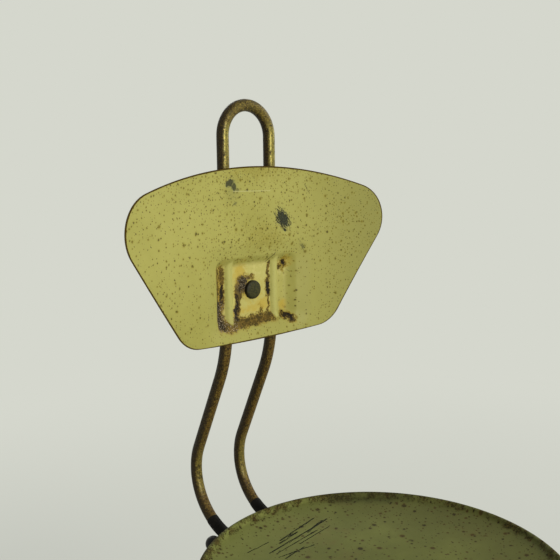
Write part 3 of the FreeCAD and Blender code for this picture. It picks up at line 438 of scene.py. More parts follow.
def seat_material():
    """Darker olive enamel of the seat: craters, a rusty rim, a sheaf of scratches, and painted shade
    toward +X and at the rear right.
    """
    g = Graph.material("seat_enamel")
    at, (x, y, _) = g.place()
    px, py = x * 1000.0, y * 1000.0
    colour, fine = enamel(g, at, srgb(124, 128, 66), srgb(104, 108, 54), srgb(114, 119, 60))
    cloud = g.noise(at, 20.0, 4.0, 0.6)
    coarse = g.noise(at, 100.0, 5.0, 0.7)
    grit = g.noise(at, 600.0, 3.0, 0.7)
    edge = g.attribute("edge")
    ring = radial(g, px, py)
    # painted shade: grey-brown darkening over the middle and toward +X, for the dish's side away
    # from the light
    painted_shade_x = g.step(px + (cloud - 0.5) * 160.0, 10.0, 170.0)
    colour = g.mix(painted_shade_x * 0.7, colour, srgb(88, 88, 48))
    tan = g.step(cloud + (coarse - 0.5) * 0.5, 0.52, 0.72)
    colour = g.mix(tan * 0.30, colour, srgb(118, 104, 58))
    # specks and small craters of rust
    crowd = (cloud - 0.5) * 1.6 + g.step(ring, 115.0, 160.0) * 0.9 + g.step(px, 0.0, 90.0) * 0.3
    colour, cover = specked(g, colour, [
        flat_specks(g, px, py, 5.3, 12.0, 0.36, 0.9, 2.7, crowd),
        flat_specks(g, px, py, 9.9, 6.0, 0.38, 0.5, 1.3, crowd)],
        srgb(36, 28, 10), srgb(72, 56, 24), srgb(100, 94, 44))
    # rust gathers along the rim; the dark band at the rear right is painted shade on the dish's
    # inner slope
    rim = g.step(ring, 140.0, 168.0)
    dirty = g.step(rim * 0.8 + (cloud - 0.5) * 1.2 + (coarse - 0.5) * 1.9 + (grit - 0.5) * 0.7,
                   0.48, 0.92)
    rust = g.mix(g.step(grit, 0.42, 0.58), srgb(86, 72, 34), srgb(38, 31, 12))
    colour = g.mix(dirty * 0.85, colour, rust)
    band = segment(g, px, py, (84, 138), (142, 84), 24.0)
    band = g.step(band + (coarse - 0.5) * 1.1, 0.40, 1.1)
    colour = g.mix(band * 0.5, colour, srgb(46, 48, 26))
    # scratches through the paint, broken along their length
    along, across = turned(px, py, 8)
    streaks = g.noise(g.combine(along * 0.05, across * 0.9, 0.0), 1.0, 4.0, 0.75)
    marks = union([segment(g, px, py, a, b, width) for a, b, width in (
        ((-56, 120), (-27, 122), 1.6), ((-16, 117), (40, 126), 2.2), ((-20, 113), (8, 118), 3.0),
        ((-40, 106), (50, 116), 2.5), ((16, 111), (44, 117), 3.2), ((-39, 94), (2, 88), 2.0),
        ((-34, 101), (26, 107), 1.7), ((-6, 99), (40, 104), 1.5), ((-36, 88), (-8, 92), 2.0))])
    scratch = g.step(marks + (streaks - 0.5) * 2.8, 0.64, 0.88)
    colour = g.mix(scratch * 0.95, colour, srgb(22, 26, 22))
    worn = g.step(edge + (grit - 0.5) * 0.5, 0.40, 0.9)
    colour = g.mix(worn * 0.85, colour, srgb(42, 36, 18))
    height = fine * 0.08 - cover * 0.4 - scratch * 0.8 + dirty * grit * 0.9
    rough = g.blend((scratch + dirty * 0.7 + worn).clamp(), 0.62 + fine * 0.12, 0.9)
    return g.finish(color=colour, rough=rough, metal=0.0, specular=0.08,
                    normal=g.bump(height, 0.0006, 0.7))


def base_material():
    """The base carries the seat's paint, chipped low down and dusty."""
    g = Graph.material("base_paint")
    at, (_, _, z) = g.place()
    colour, fine = enamel(g, at, srgb(134, 136, 76), srgb(114, 116, 62), srgb(124, 126, 70))
    coarse = g.noise(at, 60.0, 5.0, 0.7)
    grit = g.noise(at, 420.0, 4.0, 0.65)
    scaled = g.node("ShaderNodeVectorMath", {0: at, 3: 150.0}, operation="SCALE").outputs[0]
    far, (pick, grow, tint) = g.cells(scaled)
    dots = g.step(far + (grit - 0.5) * 0.1, grow * 0.16 + 0.08, grow * 0.08 + 0.03)
    dots = dots * g.step(pick, 0.55, 0.6)
    rust = g.mix(g.step(tint, 0.4, 0.9), srgb(96, 84, 36), srgb(58, 44, 20))
    colour = g.mix(dots * 0.85, colour, rust)
    low = g.step(z, 0.16, 0.0)
    chip = g.step(coarse + low * 0.10, 0.66, 0.71)
    steel = g.mix(g.step(grit, 0.4, 0.6), srgb(46, 40, 28), srgb(84, 60, 30))
    colour = g.mix(chip * 0.85, colour, steel)
    colour = g.mix(g.step(z, 0.12, 0.0) * 0.35, colour, srgb(120, 112, 84))
    height = fine * 0.08 - dots * 0.3 - chip * 0.8
    rough = g.blend(chip, 0.45 + grit * 0.12, 0.8)
    return g.finish(color=colour, rough=rough, metal=0.0, specular=0.40,
                    normal=g.bump(height, 0.0006, 0.6))


def rod_material():
    """Brassy plate on steel: black pits and brown patina, brighter on the loop; painted shade on the
    side facing -X and +Y and on the crown's top and underside, and a painted highlight on the lower
    bend.
    """
    g = Graph.material("rod_steel")
    at, (x, _, z) = g.place()
    cloud = g.noise(at, 46.0, 4.0, 0.65)
    patch = g.noise(at, 170.0, 4.0, 0.75)
    grain = g.noise(at, 700.0, 3.0, 0.75)
    # painted shade on the side facing -X and +Y, stronger on the upper part of the leg at -X
    right_leg = g.step(x * 1000.0, -10.0, -24.0) * g.step(z, 0.80, 0.86)
    shade = g.facing(-0.74, 0.67, 0.0) + (patch - 0.5) * 0.5
    shade = g.step(shade + right_leg * 0.22, -0.25, 0.35)
    high = g.step(z + (cloud - 0.5) * 0.08, 0.80, 0.86)
    # painted highlight: the lower bend is painted bright brass on its side away from the painted
    # shade
    bend = g.step(z, 0.555, 0.52) * g.step(z, 0.485, 0.50)
    crown = g.step(z, 0.862, 0.884)
    loop = (high - crown * 0.7) * (1.0 - shade * 0.9)
    rub_and_highlight = (loop * 1.1 + bend * (1.0 - shade) * 0.55 + (patch - 0.5) * 0.6).clamp()
    brown = g.mix(g.step(patch, 0.36, 0.58), srgb(50, 38, 12), srgb(108, 82, 28))
    colour = g.mix(rub_and_highlight, brown, srgb(136, 128, 62))
    # painted shade: near-black on the side facing -X and +Y and on the crown's top and underside
    colour = g.mix(shade.max(crown * g.facing(0.0, 0.0, 1.0).abs() * 0.9) * 0.88, colour,
                   srgb(28, 20, 7))
    colour = g.mix(g.step(patch, 0.50, 0.60) * 0.8, colour, srgb(34, 25, 8))
    colour = g.mix(g.step(grain, 0.54, 0.64) * 0.6, colour, srgb(28, 21, 8))
    colour = g.mix(g.step(grain, 0.47, 0.38) * (0.45 + rub_and_highlight * 0.4) * (1.0 - shade * 0.7),
                   colour, srgb(168, 146, 66))
    rough = g.blend(rub_and_highlight, 0.50, 0.30) + g.step(patch, 0.5, 0.64) * 0.25
    return g.finish(color=colour, rough=rough, metal=rub_and_highlight * 0.35, specular=0.20,
                    normal=g.bump(grain * 0.5 + patch * 0.6, 0.0003, 0.6))


def metal_material(name, colour_a, colour_b, rough, metal=1.0, pitted=0.4):
    """Machined or plated steel with fine marks, dulling and a little rust."""
    g = Graph.material(name)
    at, (x, y, z) = g.place()
    cloud = g.noise(at, 55.0, 4.0, 0.6)
    grain = g.noise(g.combine(x, y, z * 6.0), 300.0, 3.0, 0.6)
    colour = g.mix(g.step(cloud, 0.35, 0.7), colour_a, colour_b)
    rust = g.step(g.noise(at, 140.0, 4.0, 0.7), 0.60, 0.70) * pitted
    colour = g.mix(rust, colour, srgb(84, 56, 28))
    roughness = rough + grain * 0.12 + rust * 0.4
    return g.finish(color=colour, rough=roughness, metal=metal - rust * 0.8,
                    normal=g.bump(grain * 0.4 + rust * 0.6, 0.0002, 0.5))


def bolt_material():
    """Blackened bolts; the flat face in the pocket is worn to olive grey and painted lighter than
    the sides, a painted highlight of its lit face.
    """
    g = Graph.material("dark_steel")
    at, (x, y, z) = g.place()
    cloud = g.noise(at, 160.0, 4.0, 0.65)
    grit = g.noise(at, 700.0, 3.0, 0.65)
    # the pocket bolt's head is the one dark bolt between these depths
    face = g.step(y, 0.1690, 0.1682) * g.step(y, 0.10, 0.12)
    colour = g.mix(g.step(cloud, 0.35, 0.7), srgb(18, 17, 12), srgb(34, 31, 20))
    olive = g.mix(g.step(grit, 0.35, 0.65), srgb(34, 34, 12), srgb(70, 68, 30))
    from_axis = radial(g, x, z - BOLT_UP * MM) * 1000.0
    face = face * g.step(from_axis + (cloud - 0.5) * 6.0, 10.5, 6.5)
    # painted highlight: the head's front face is painted lighter olive over its worn tint, the sides
    # stay black
    colour = g.mix(face * g.step(cloud, 0.25, 0.45) * 0.9, colour, olive)
    return g.finish(color=colour, rough=0.50 + grit * 0.15, metal=0.0, specular=0.22,
                    normal=g.bump(grit * 0.5 + cloud * 0.5, 0.0003, 0.6))


def black_paint():
    """Black paint of the clamping parts, chipped to rusty steel."""
    g = Graph.material("frame_black")
    at, _ = g.place()
    grime = g.noise(at, 300.0, 4.0, 0.65)
    cloud = g.noise(at, 40.0, 4.0, 0.65)
    chip = g.step(g.noise(at, 120.0, 4.0, 0.7), 0.66, 0.72)
    colour = g.mix(g.step(cloud, 0.35, 0.7), srgb(30, 30, 29), srgb(44, 43, 40))
    colour = g.mix(chip * 0.8, colour, srgb(96, 78, 56))
    return g.finish(color=colour, rough=0.5 + grime * 0.15, metal=0.0,
                    normal=g.bump(grime * 0.3 - chip * 0.6, 0.0004, 0.6))


def rubber(name):
    """Matt black rubber, dusty near the floor."""
    g = Graph.material(name)
    at, (_, _, z) = g.place()
    grime = g.noise(at, 260.0, 4.0, 0.65)
    cloud = g.noise(at, 30.0, 3.0, 0.6)
    colour = g.mix(g.step(cloud, 0.35, 0.7), srgb(12, 12, 10), srgb(22, 21, 17))
    low = g.step(z, 0.10, 0.02) * 0.6 + 0.10
    colour = g.mix(g.step(grime, 0.45, 0.75) * low, colour, srgb(92, 86, 70))
    return g.finish(color=colour, rough=0.68 + grime * 0.15, metal=0.0, specular=0.12,
                    normal=g.bump(grime, 0.0003, 0.5))


def plastic(name, colour_a, colour_b, rough):
    """Moulded plastic with scuffs and a little grime."""
    g = Graph.material(name)
    at, (x, y, z) = g.place()
    grime = g.noise(at, 340.0, 4.0, 0.6)
    cloud = g.noise(at, 36.0, 3.0, 0.6)
    colour = g.mix(g.step(cloud, 0.3, 0.7), colour_a, colour_b)
    scuff = g.step(g.noise(g.combine(x * 4.0, y, z), 200.0, 3.0, 0.7), 0.62, 0.70)
    colour = g.mix(scuff * 0.2, colour, srgb(110, 106, 98))
    return g.finish(color=colour, rough=rough + scuff * 0.3 + grime * 0.1, metal=0.0, specular=0.2,
                    normal=g.bump(grime * 0.3 - scuff * 0.4, 0.0002, 0.5))


MATERIALS = {
    "plate_enamel": plate_material(),
    "seat_enamel": seat_material(),
    "base_paint": base_material(),
    "rod_steel": rod_material(),
    "frame_black": black_paint(),
    "column_steel": metal_material("column_steel", srgb(168, 166, 160), srgb(192, 190, 184), 0.24,
                                   pitted=0.5),
    "zinc_steel": metal_material("zinc_steel", srgb(150, 148, 140), srgb(176, 174, 166), 0.42),
    "dark_steel": bolt_material(),
    "washer_brass": metal_material("washer_brass", srgb(170, 140, 70), srgb(190, 160, 88), 0.3),
    "black_plastic": plastic("black_plastic", srgb(7, 7, 6), srgb(15, 14, 12), 0.34),
    "black_rubber": rubber("black_rubber"),
    "nylon": plastic("nylon", srgb(206, 200, 178), srgb(216, 210, 190), 0.45),
}


# ---------------------------------------------------------------- mesh helpers
def new_mesh(name, points, faces, material, attributes=None):
    """Smooth mesh piece from points in millimetres."""
    mesh = bpy.data.meshes.new(name)
    mesh.from_pydata((np.asarray(points) * MM).tolist(), [], faces)
    mesh.update()
    for key, values in (attributes or {}).items():
        layer = mesh.attributes.new(key, "FLOAT", "POINT")
        layer.data.foreach_set("value", np.asarray(values, dtype=np.float32))
    mesh.polygons.foreach_set("use_smooth", [True] * len(mesh.polygons))
    mesh.materials.append(MATERIALS[material])
    piece = bpy.data.objects.new(name, mesh)
    bpy.context.scene.collection.objects.link(piece)
    return piece


def grid_faces(rows, columns):
    """Quads between neighbouring rings of points."""
    faces = []
    for i in range(rows - 1):
        for j in range(columns):
            k = (j + 1) % columns
            a, b = i * columns, (i + 1) * columns
            faces.append((a + j, a + k, b + k, b + j))
    return faces


def lathe(profile, segments, bumps=None):
    """Turns (radius, height) points about Z. The profile runs from axis to axis."""
    turns = np.linspace(0, 2 * np.pi, segments, endpoint=False)
    points = []
    for radius, height in profile:
        for turn in turns:
            lift = bumps(radius, turn) if bumps else 0.0
            points.append((radius * math.cos(turn), radius * math.sin(turn), height + lift))
    return points, [face[::-1] for face in grid_faces(len(profile), segments)]


def smooth_line(points, steps=6):
    """Catmull-Rom curve through the points."""
    points = [np.asarray(p, dtype=float) for p in points]
    padded = [2 * points[0] - points[1], *points, 2 * points[-1] - points[-2]]
    line = []
    for a, b, c, d in zip(padded, padded[1:], padded[2:], padded[3:]):
        for i in range(steps):
            t = i / steps
            line.append(0.5 * ((2 * b) + (c - a) * t + (2 * a - 5 * b + 4 * c - d) * t * t
                               + (3 * b - a - 3 * c + d) * t ** 3))
    line.append(points[-1])
    return line


def sweep(path, radius, sides=32, wobble=0.0, cap=0.8):
    """Round tube along a path; radius may be a number or one number per point."""
    path = np.asarray(path, dtype=float)
    count = len(path)
    radii = np.full(count, float(radius)) if np.isscalar(radius) else np.asarray(radius, float)
    tangents = np.gradient(path, axis=0)
    tangents /= np.linalg.norm(tangents, axis=1)[:, None]
    side = np.cross(tangents[0], (0, 0, 1))
    points = []
    turns = np.linspace(0, 2 * np.pi, sides, endpoint=False)
    for i in range(count):
        side = side - tangents[i] * side.dot(tangents[i])
        side /= np.linalg.norm(side)
        up = np.cross(tangents[i], side)
        spread = radii[i] * (1 + wobble * rng.uniform(-1, 1, sides))
        points += list(path[i] + np.outer(spread * np.cos(turns), side)
                       + np.outer(spread * np.sin(turns), up))
    faces = grid_faces(count, sides)
    # each end is closed by a small chamfer and a fan
    for end, step, ring in ((path[0], -tangents[0], 0), (path[-1], tangents[-1], count - 1)):
        base = len(points)
        inner = [end + step * cap + (np.asarray(p) - end) * (1 - cap / radii[ring])
                 for p in points[ring * sides:(ring + 1) * sides]]
        points += inner
        points.append(end + step * cap)
        for j in range(sides):
            k = (j + 1) % sides
            outer_j, outer_k = ring * sides + j, ring * sides + k
            quad = (outer_j, outer_k, base + k, base + j)
            tri = (base + j, base + k, base + sides)
            if ring == 0:
                quad, tri = quad[::-1], tri[::-1]
            faces += [quad, tri]
    return points, faces


def arc_points(centre, radius, start, stop, count):
    """Points of an arc in a plane, angles in degrees."""
    return [(centre[0] + radius * math.cos(math.radians(a)),
             centre[1] + radius * math.sin(math.radians(a)))
            for a in np.linspace(start, stop, count)]


# ---------------------------------------------------------------- bent rod loop
def rod_leg():
    """Centreline of one rod leg from under the seat to the crown, as (y, z) in mm."""
    lean = math.radians(RAKE)
    line = [(y, ROD_LOW) for y in np.linspace(ROD_TIP, LOWER_TURN[0] - 4, 60)]
    line += arc_points(LOWER_TURN, LOWER_BEND, -90, RAKE, 40)
    lower = line[-1]
    upper_y = ROD_BACK + UPPER_BEND * (1 - math.cos(lean))
    length = (lower[0] - upper_y) / math.sin(lean)
    upper = (upper_y, lower[1] + length * math.cos(lean))
    line += [tuple(np.add(lower, np.multiply(np.subtract(upper, lower), t)))
             for t in np.linspace(0.04, 0.96, 26)]
    bend = (ROD_BACK + UPPER_BEND, upper[1] + UPPER_BEND * math.sin(lean))
    line += arc_points(bend, UPPER_BEND, 180 + RAKE, 180, 30)
    line += [(ROD_BACK, z) for z in np.linspace(bend[1] + 4, CROWN_UP - 4, 46)]
    return line


leg_line = rod_leg()
rod_path = [(-ROD_X, y, z) for y, z in leg_line]
rod_path += [(-x, ROD_BACK, z) for x, z in arc_points((0, CROWN_UP), ROD_X, 0, 180, 40)]
rod_path += [(ROD_X, y, z) for y, z in reversed(leg_line)]
rod = new_mesh("back_rod_round", *sweep(rod_path, ROD_RADIUS), "rod_steel")
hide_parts("back_rod")
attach(rod, "seat")

# short black sleeves on the lower bends, swollen by 0.42 mm except at their ends; they are a painted
# shadow, black where the seat's rim shades the rods
for name, hand in (("left", -1), ("right", 1)):
    line = [(y, ROD_LOW) for y in np.linspace(SLEEVE_Y, LOWER_TURN[0] - 2, 10)]
    line += arc_points(LOWER_TURN, LOWER_BEND, -90, SLEEVE_SWEEP - 90, 30)
    line = [(hand * ROD_X, y, z) for y, z in line]
    steps = np.linspace(0, 1, len(line))
    swell = ROD_RADIUS + 0.42
    for end in (1 - steps, steps):
        swell = swell - 0.25 * np.exp(-(end * 30) ** 2)
    sleeve = new_mesh(f"sleeve_{name}", *sweep(line, swell, wobble=0.001, cap=0.3),
                      "black_rubber")
    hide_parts(f"rod_sleeve_{name}")
    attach(sleeve, "seat")


# ---------------------------------------------------------------- backrest plate
TOP_ARC, LOW_ARC = 460, 980          # radii of the top and bottom edges
TOP_ROUND, LOW_ROUND = 36.5, 36      # radii of the corners
TOP_TIP = (185.5, 316.1)             # where side and top edge would meet, from the seat rim
LOW_TIP = (96.5, 188.3)              # where side and bottom edge would meet
PLATE_SHEET = 1.2
PLATE_Y, PLATE_BOW = 159, 700        # front of the sheet's middle, and the radius it is bent to
POCKET_UP = 232.4                    # middle of the pocket, from the seat rim
POCKET_HALF = (53.2, 34.4)           # half its width and half its height
POCKET_ROUND, WALL_RUN = 9.0, 8.8    # its corner radius, and how far its walls lean in
FLOOR_Y = 171.5                      # depth of its floor
CHANNEL = 5.9                        # half the width of a rod channel


def corner_arc(tip, along, centre, arc_radius, radius):
    """Fillet between the plate's straight side and its top or bottom arc."""
    inward = np.array((-along[1], along[0]))
    base = tip + inward * radius - centre
    half = base @ along
    root = math.sqrt(half * half - base @ base + (arc_radius - radius) ** 2)
    middle = centre + base + along * min(-half + root, -half - root, key=abs)
    out = (middle - centre) / np.linalg.norm(middle - centre)
    return middle, middle - inward * radius, centre + out * arc_radius


def plate_outline(count):
    """Closed outline as (x, height above the seat), evenly spaced, in mm."""
    low, top = np.array(LOW_TIP), np.array(TOP_TIP)
    along = (top - low) / np.linalg.norm(top - low)
    top_centre = np.array((0, top[1] - math.sqrt(TOP_ARC ** 2 - top[0] ** 2)))
    low_centre = np.array((0, low[1] + math.sqrt(LOW_ARC ** 2 - low[0] ** 2)))
    low_mid, low_side, low_end = corner_arc(low, along, low_centre, LOW_ARC, LOW_ROUND)
    top_mid, top_side, top_end = corner_arc(top, along, top_centre, TOP_ARC, TOP_ROUND)

    def turn(centre, start, stop, steps):
        a, b = (math.degrees(math.atan2(*(p - centre)[::-1])) for p in (start, stop))
        return arc_points(centre, np.linalg.norm(start - centre), a, b, steps)

    right = turn(low_centre, np.array((0, low_centre[1] - LOW_ARC)), low_end, 60)
    right += turn(low_mid, low_end, low_side, 40) + [tuple(top_side)]
    right += turn(top_mid, top_side, top_end, 60)
    right += turn(top_centre, top_end, np.array((0, top_centre[1] + TOP_ARC)), 90)
    line = np.array(right + [(-x, z) for x, z in reversed(right)])
    keep = np.concatenate(([True], np.linalg.norm(np.diff(line, axis=0), axis=1) > 1e-6))
    line = line[keep]
    gaps = np.linalg.norm(np.diff(line, axis=0), axis=1)
    run = np.concatenate(([0], np.cumsum(gaps)))
    spots = np.linspace(0, run[-1], count, endpoint=False)
    return np.stack([np.interp(spots, run, line[:, 0]), np.interp(spots, run, line[:, 1])], 1)


def ease(value):
    """Smooth 0 to 1, flat beyond both ends."""
    value = np.clip(value, 0, 1)
    return value * value * (3 - 2 * value)


def plate_surface(x, up):
    """Front face of the plate: its Y, how far inside the pocket, how far up a channel."""
    bow = PLATE_Y - (PLATE_BOW - np.sqrt(PLATE_BOW ** 2 - x ** 2))
    bow = bow + 0.25 * np.sin(x / 41 + 1.3) * np.sin(up / 37)
    dx = np.abs(x) - POCKET_HALF[0] + POCKET_ROUND
    dz = np.abs(up - POCKET_UP) - POCKET_HALF[1] + POCKET_ROUND
    outside = np.hypot(np.maximum(dx, 0), np.maximum(dz, 0)) + np.minimum(
        np.maximum(dx, dz), 0) - POCKET_ROUND
    # the sheet is drawn in a little all round the pocket, then falls to its floor
    drawn = 4.4 * (1 - ease((outside + 2) / 20))
    t = -outside / WALL_RUN
    soft = 0.16
    sunk = 0.5 * (1 + np.hypot(t, soft) - np.hypot(t - 1, soft))
    depth = bow + drawn
    depth = depth + (FLOOR_Y - depth) * np.clip(sunk, 0, 1)
    pocket = ease((-outside - 4.5) / 4.0)
    rib = np.zeros_like(depth)
    # two half-round channels over the rods, a little prouder at their ends
    ends = ease((np.abs(up - POCKET_UP) - 25.5) / 9.0) * 2.6
    for hand in (-1, 1):
        off = np.abs(x - hand * (ROD_X - 0.6 * hand))
        near = off < CHANNEL - 0.1
        crest = ROD_BACK - 8.4 * np.sqrt(np.maximum(1 - (off / CHANNEL) ** 2, 0)) - ends
        crest = np.where(near, crest, 400.0)
        blend = np.clip(0.5 + 0.5 * (crest - depth) / 0.7, 0, 1)
        joined = crest * (1 - blend) + depth * blend - 0.7 * blend * (1 - blend)
        rib = np.maximum(rib, np.where(near, 1 - blend, 0) * (sunk > 0.04))
        depth = np.where(near, joined, depth)
    return depth, pocket, rib


def build_plate():
    """Pressed sheet of rings from the clamp's axis to the outline, front and back."""
    outline = plate_outline(520)
    centre = np.array((0.0, CLAMP_UP - SEAT_UP))
    inner = np.linspace(0.004, 0.35, 84)
    outer = np.linspace(0.35, 1.0, 78)[1:]
    shares = np.concatenate((inner, outer))
    reach = np.linalg.norm(outline - centre, axis=1)
    rings, edges, pockets, ribs = [], [], [], []
    for share in shares:
        inset = 0.35 if share == 1.0 else 0.0
        flat = centre + (outline - centre) * (share - inset / reach)[:, None]
        depth, pocket, rib = plate_surface(flat[:, 0], flat[:, 1])
        rings.append(np.stack([flat[:, 0], depth, flat[:, 1] + SEAT_UP], 1))
        edges.append(np.clip(1 - (1 - share) * reach / 4.0, 0, 1))
        pockets.append(pocket)
        ribs.append(rib)
    front = np.array(rings)
    # normals of the front sheet, to set the back face one sheet thickness behind
    across = np.gradient(front, axis=0)
    around = np.roll(front, -1, axis=1) - np.roll(front, 1, axis=1)
    normals = np.cross(across, around)
    normals /= np.linalg.norm(normals, axis=2)[:, :, None]
    normals *= np.sign(normals[:, :, 1])[:, :, None]
    back = front + normals * PLATE_SHEET
    rim_y = plate_surface(outline[:, 0], outline[:, 1])[0] + PLATE_SHEET / 2
    edge_ring = np.stack([outline[:, 0], rim_y, outline[:, 1] + SEAT_UP], 1)
    count, sides = len(shares), len(outline)
    points = [*front.reshape(-1, 3), *edge_ring, *back[::-1].reshape(-1, 3)]
    faces = grid_faces(2 * count + 1, sides)
    marks = [*np.array(edges).reshape(-1), *np.ones(sides), *np.array(edges)[::-1].reshape(-1)]
    unseen = np.zeros(sides * (count + 1))
    plate = new_mesh("back_plate_pressed", points, faces, "plate_enamel", {
        "edge": marks, "pocket": [*np.array(pockets).reshape(-1), *unseen],
        "rib": [*np.array(ribs).reshape(-1), *unseen]})
    # the bolt's hole
    work = bmesh.new()
    work.from_mesh(plate.data)
    hole = [v for v in work.verts if math.hypot(v.co.x, v.co.z - CLAMP_UP * MM) < 4.1 * MM]
    bmesh.ops.delete(work, geom=hole, context="VERTS")
    bmesh.ops.recalc_face_normals(work, faces=work.faces)
    work.to_mesh(plate.data)
    work.free()
    return plate


plate = build_plate()
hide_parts("back_plate")
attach(plate, "backrest")

# ---------------------------------------------------------------- pocket bolt
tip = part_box("pocket_bolt")[1][1] / MM - FLOOR_Y      # reach of the thread behind the floor
head = [(0.01, 4.8), (3, 4.7), (6, 4.4), (8.0, 3.9), (9.0, 3.3), (9.4, 2.5), (9.4, 0.0),
        (2.95, 0.0), (2.95, 2 - tip), (2.2, -tip), (0.01, -tip)]
points, faces = lathe(smooth_line(head[:6], 4) + head[6:], 48)
points = [(x, FLOOR_Y - z, y + BOLT_UP) for x, y, z in points]
bolt = new_mesh("pocket_bolt_crowned", points, faces, "dark_steel")
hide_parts("pocket_bolt")
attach(bolt, "backrest")

# ---------------------------------------------------------------- seat pan
DISH_UP, DISH_FLAT, DISH_TURN = 469, 105, 240      # height, flat radius and curve of the dish
PAN_SHEET = 1.5


def dish_wall(radius):
    """Height of the dish where it curves up to the rim."""
    return DISH_UP + DISH_TURN - math.sqrt(DISH_TURN ** 2 - (radius - DISH_FLAT) ** 2)


flat_radii = (0.5, 20, 50, 80, 100)
dish = [(r, DISH_UP) for r in flat_radii] + [(r, dish_wall(r)) for r in np.linspace(105, 156, 18)]
roll = smooth_line([(157, 474.75), (159, 475.6), (160.5, 477.2), (161.8, 479.3), (163.6, 480),
                    (166.3, 478.8), (167.5, 476), (166.3, 473.2), (163.5, 472.0),
                    (161.2, 472.6), (160.3, 473.7), (158.6, 473.4)], 5)
under = [(r, dish_wall(r) - PAN_SHEET) for r in np.linspace(156, 105, 14)]
under += [(r, DISH_UP - PAN_SHEET) for r in (100, 60, 20, 0.5)]
profile = [*dish, *roll, *under]
rim_mark = [max(0.0, 1 - math.hypot(r - 167.0, z - 476.5) / 3.4) for r, z in profile]


def pan_bumps(radius, turn):
    """Slight unevenness of the old pan, none at its middle or rim."""
    fade = ease(np.array(radius / 60)) * ease(np.array((166 - radius) / 20))
    return float(fade) * 0.22 * (math.sin(3 * turn + radius / 31) + math.sin(5 * turn - radius / 23))


PAN_SIDES = 288
pan = new_mesh("seat_pan_dished", *lathe(profile, PAN_SIDES, pan_bumps), "seat_enamel",
               {"edge": np.repeat(rim_mark, PAN_SIDES)})
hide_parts("seat_pan")
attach(pan, "seat")


# ---------------------------------------------------------------- CAD pieces that stay
def soften(node, material, width):
    """Paints a CAD piece and rounds its sharp edges."""
    piece = frame["nodes"][node]
    piece.data.materials.clear()
    piece.data.materials.append(MATERIALS[material])
    piece.data.polygons.foreach_set("use_smooth", [True] * len(piece.data.polygons))
    weld = piece.modifiers.new("Weld", "WELD")
    weld.merge_threshold = 1e-5
    bevel = piece.modifiers.new("Bevel", "BEVEL")
    bevel.width = width * MM
    bevel.segments = 2
    bevel.limit_method = "ANGLE"
    bevel.angle_limit = math.radians(32)
    bevel.harden_normals = True
    bevel.use_clamp_overlap = True


SLOTS = {row["node"]: row["material_slot"] for row in frame["record"]["subparts"]}
BEVELS = {"hub_tube": 0.8, "knob_boss": 0.6, "seat_beam": 0.5, "clamp_bar_front": 1.2,
          "clamp_bar_rear": 1.2, "swivel_socket": 1.0, "height_knob": 1.6, "rear_strap": 0.9,
          "wing_nut": 0.8, "pinch_lever": 0.8, "hub_cap": 0.8, "guide_bush": 0.4,
          "spindle": 0.5, "column_tube": 0.5}
DONE = {"back_rod", "rod_sleeve_left", "rod_sleeve_right", "back_plate", "seat_pan",
        "pocket_bolt"}
for node, slot_name in SLOTS.items():
    if node not in DONE:
        soften(node, slot_name, BEVELS.get(node, 0.35))

# ---------------------------------------------------------------- floor, light, camera
PALE = srgb(213, 215, 205)


def floor_material():
    """Pale floor: the camera sees its plain colour, darkened where the stool's shadow lies."""
    g = Graph.material("floor")
    _, (x, y, _) = g.place()
    shadow = g.step(radial(g, x, y), 2.4, 0.8) * 0.45
    plain = g.node("ShaderNodeEmission", {"Color": (*PALE, 1.0), "Strength": 1.0})
    lit = g.node("ShaderNodeBsdfDiffuse", {"Color": (*PALE, 1.0)})
    share = (1.0 - shadow) * g.seen_directly()
    return g.surface(g.node("ShaderNodeMixShader", {
        0: share, 1: lit.outputs[0], 2: plain.outputs[0]}))


FLOOR_REACH = 60.0
corners = [(FLOOR_REACH * x, FLOOR_REACH * y, 0) for x, y in ((-1, -1), (1, -1), (1, 1), (-1, 1))]
floor_mesh = bpy.data.meshes.new("floor")
floor_mesh.from_pydata(corners, [], [(0, 1, 2, 3)])
floor_mesh.materials.append(floor_material())
floor = bpy.data.objects.new("floor", floor_mesh)
bpy.context.scene.collection.objects.link(floor)


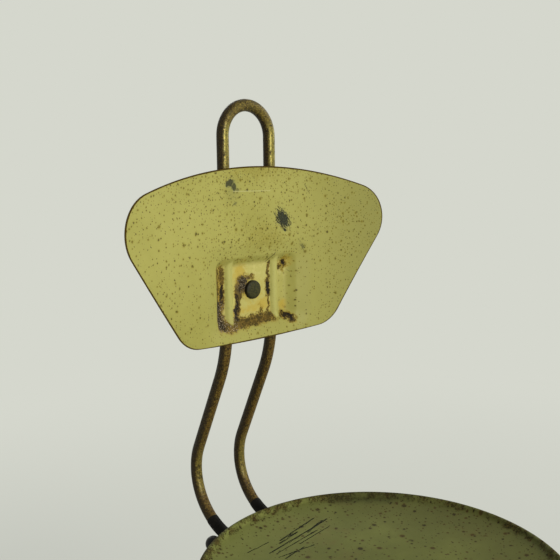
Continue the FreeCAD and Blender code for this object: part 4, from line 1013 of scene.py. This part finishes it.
def studio_world():
    """Faint even light on the object; the camera sees the plain pale backdrop."""
    g = Graph(bpy.data.worlds.new("studio"), "ShaderNodeOutputWorld")
    ambient = g.node("ShaderNodeBackground", {"Color": (0.92, 0.96, 1.0, 1.0), "Strength": 0.22})
    backdrop = g.node("ShaderNodeBackground", {"Color": (*PALE, 1.0), "Strength": 1.0})
    return g.surface(g.node("ShaderNodeMixShader", {
        0: g.seen_directly(), 1: ambient.outputs[0], 2: backdrop.outputs[0]}))


bpy.context.scene.world = studio_world()


def area_light(name, spot, aim, size, power, colour):
    """Square lamp at spot that shines toward aim."""
    data = bpy.data.lights.new(name, "AREA")
    data.shape = "SQUARE"
    data.size = size
    data.energy = power
    data.color = colour
    lamp = bpy.data.objects.new(name, data)
    lamp.location = spot
    lamp.rotation_mode = "QUATERNION"
    lamp.rotation_quaternion = (Vector(aim) - Vector(spot)).to_track_quat("-Z", "Y")
    bpy.context.scene.collection.objects.link(lamp)


area_light("key", (-0.35, -3.05, 1.50), (0, 0.12, 0.70), 0.9, 76, (1.0, 0.98, 0.94))
area_light("side", (2.3, -0.4, 1.5), (0, 0.1, 0.65), 1.2, 14, (1.0, 1.0, 0.97))
area_light("back", (1.2, 2.4, 1.9), (0, 0.1, 0.6), 1.8, 30, (1.0, 1.0, 0.98))


def add_camera():
    """Camera before the sitter's right, level with the plate's top and looking down a little."""
    eye = (-0.51308, -0.41524, SEAT + 0.35673)
    azimuth, dip, tilt = math.radians(-43.26), math.radians(8.4), math.radians(-0.64)
    look = Vector((-math.sin(azimuth) * math.cos(dip), math.cos(azimuth) * math.cos(dip),
                   -math.sin(dip)))
    right = Vector((math.cos(azimuth), math.sin(azimuth), 0))
    up = right.cross(look)
    axes = (right * math.cos(tilt) + up * math.sin(tilt),
            up * math.cos(tilt) - right * math.sin(tilt), -look)
    data = bpy.data.cameras.new("camera")
    data.sensor_width = 36.0
    data.lens = 50.45
    data.dof.use_dof = False
    camera = bpy.data.objects.new("camera", data)
    camera.matrix_world = Matrix((*((*(axis[i] for axis in axes), eye[i]) for i in range(3)),
                                  (0, 0, 0, 1)))
    bpy.context.scene.collection.objects.link(camera)
    return camera


bpy.context.scene.camera = add_camera()
bpy.context.scene.view_settings.view_transform = "Standard"

bpy.context.view_layer.update()
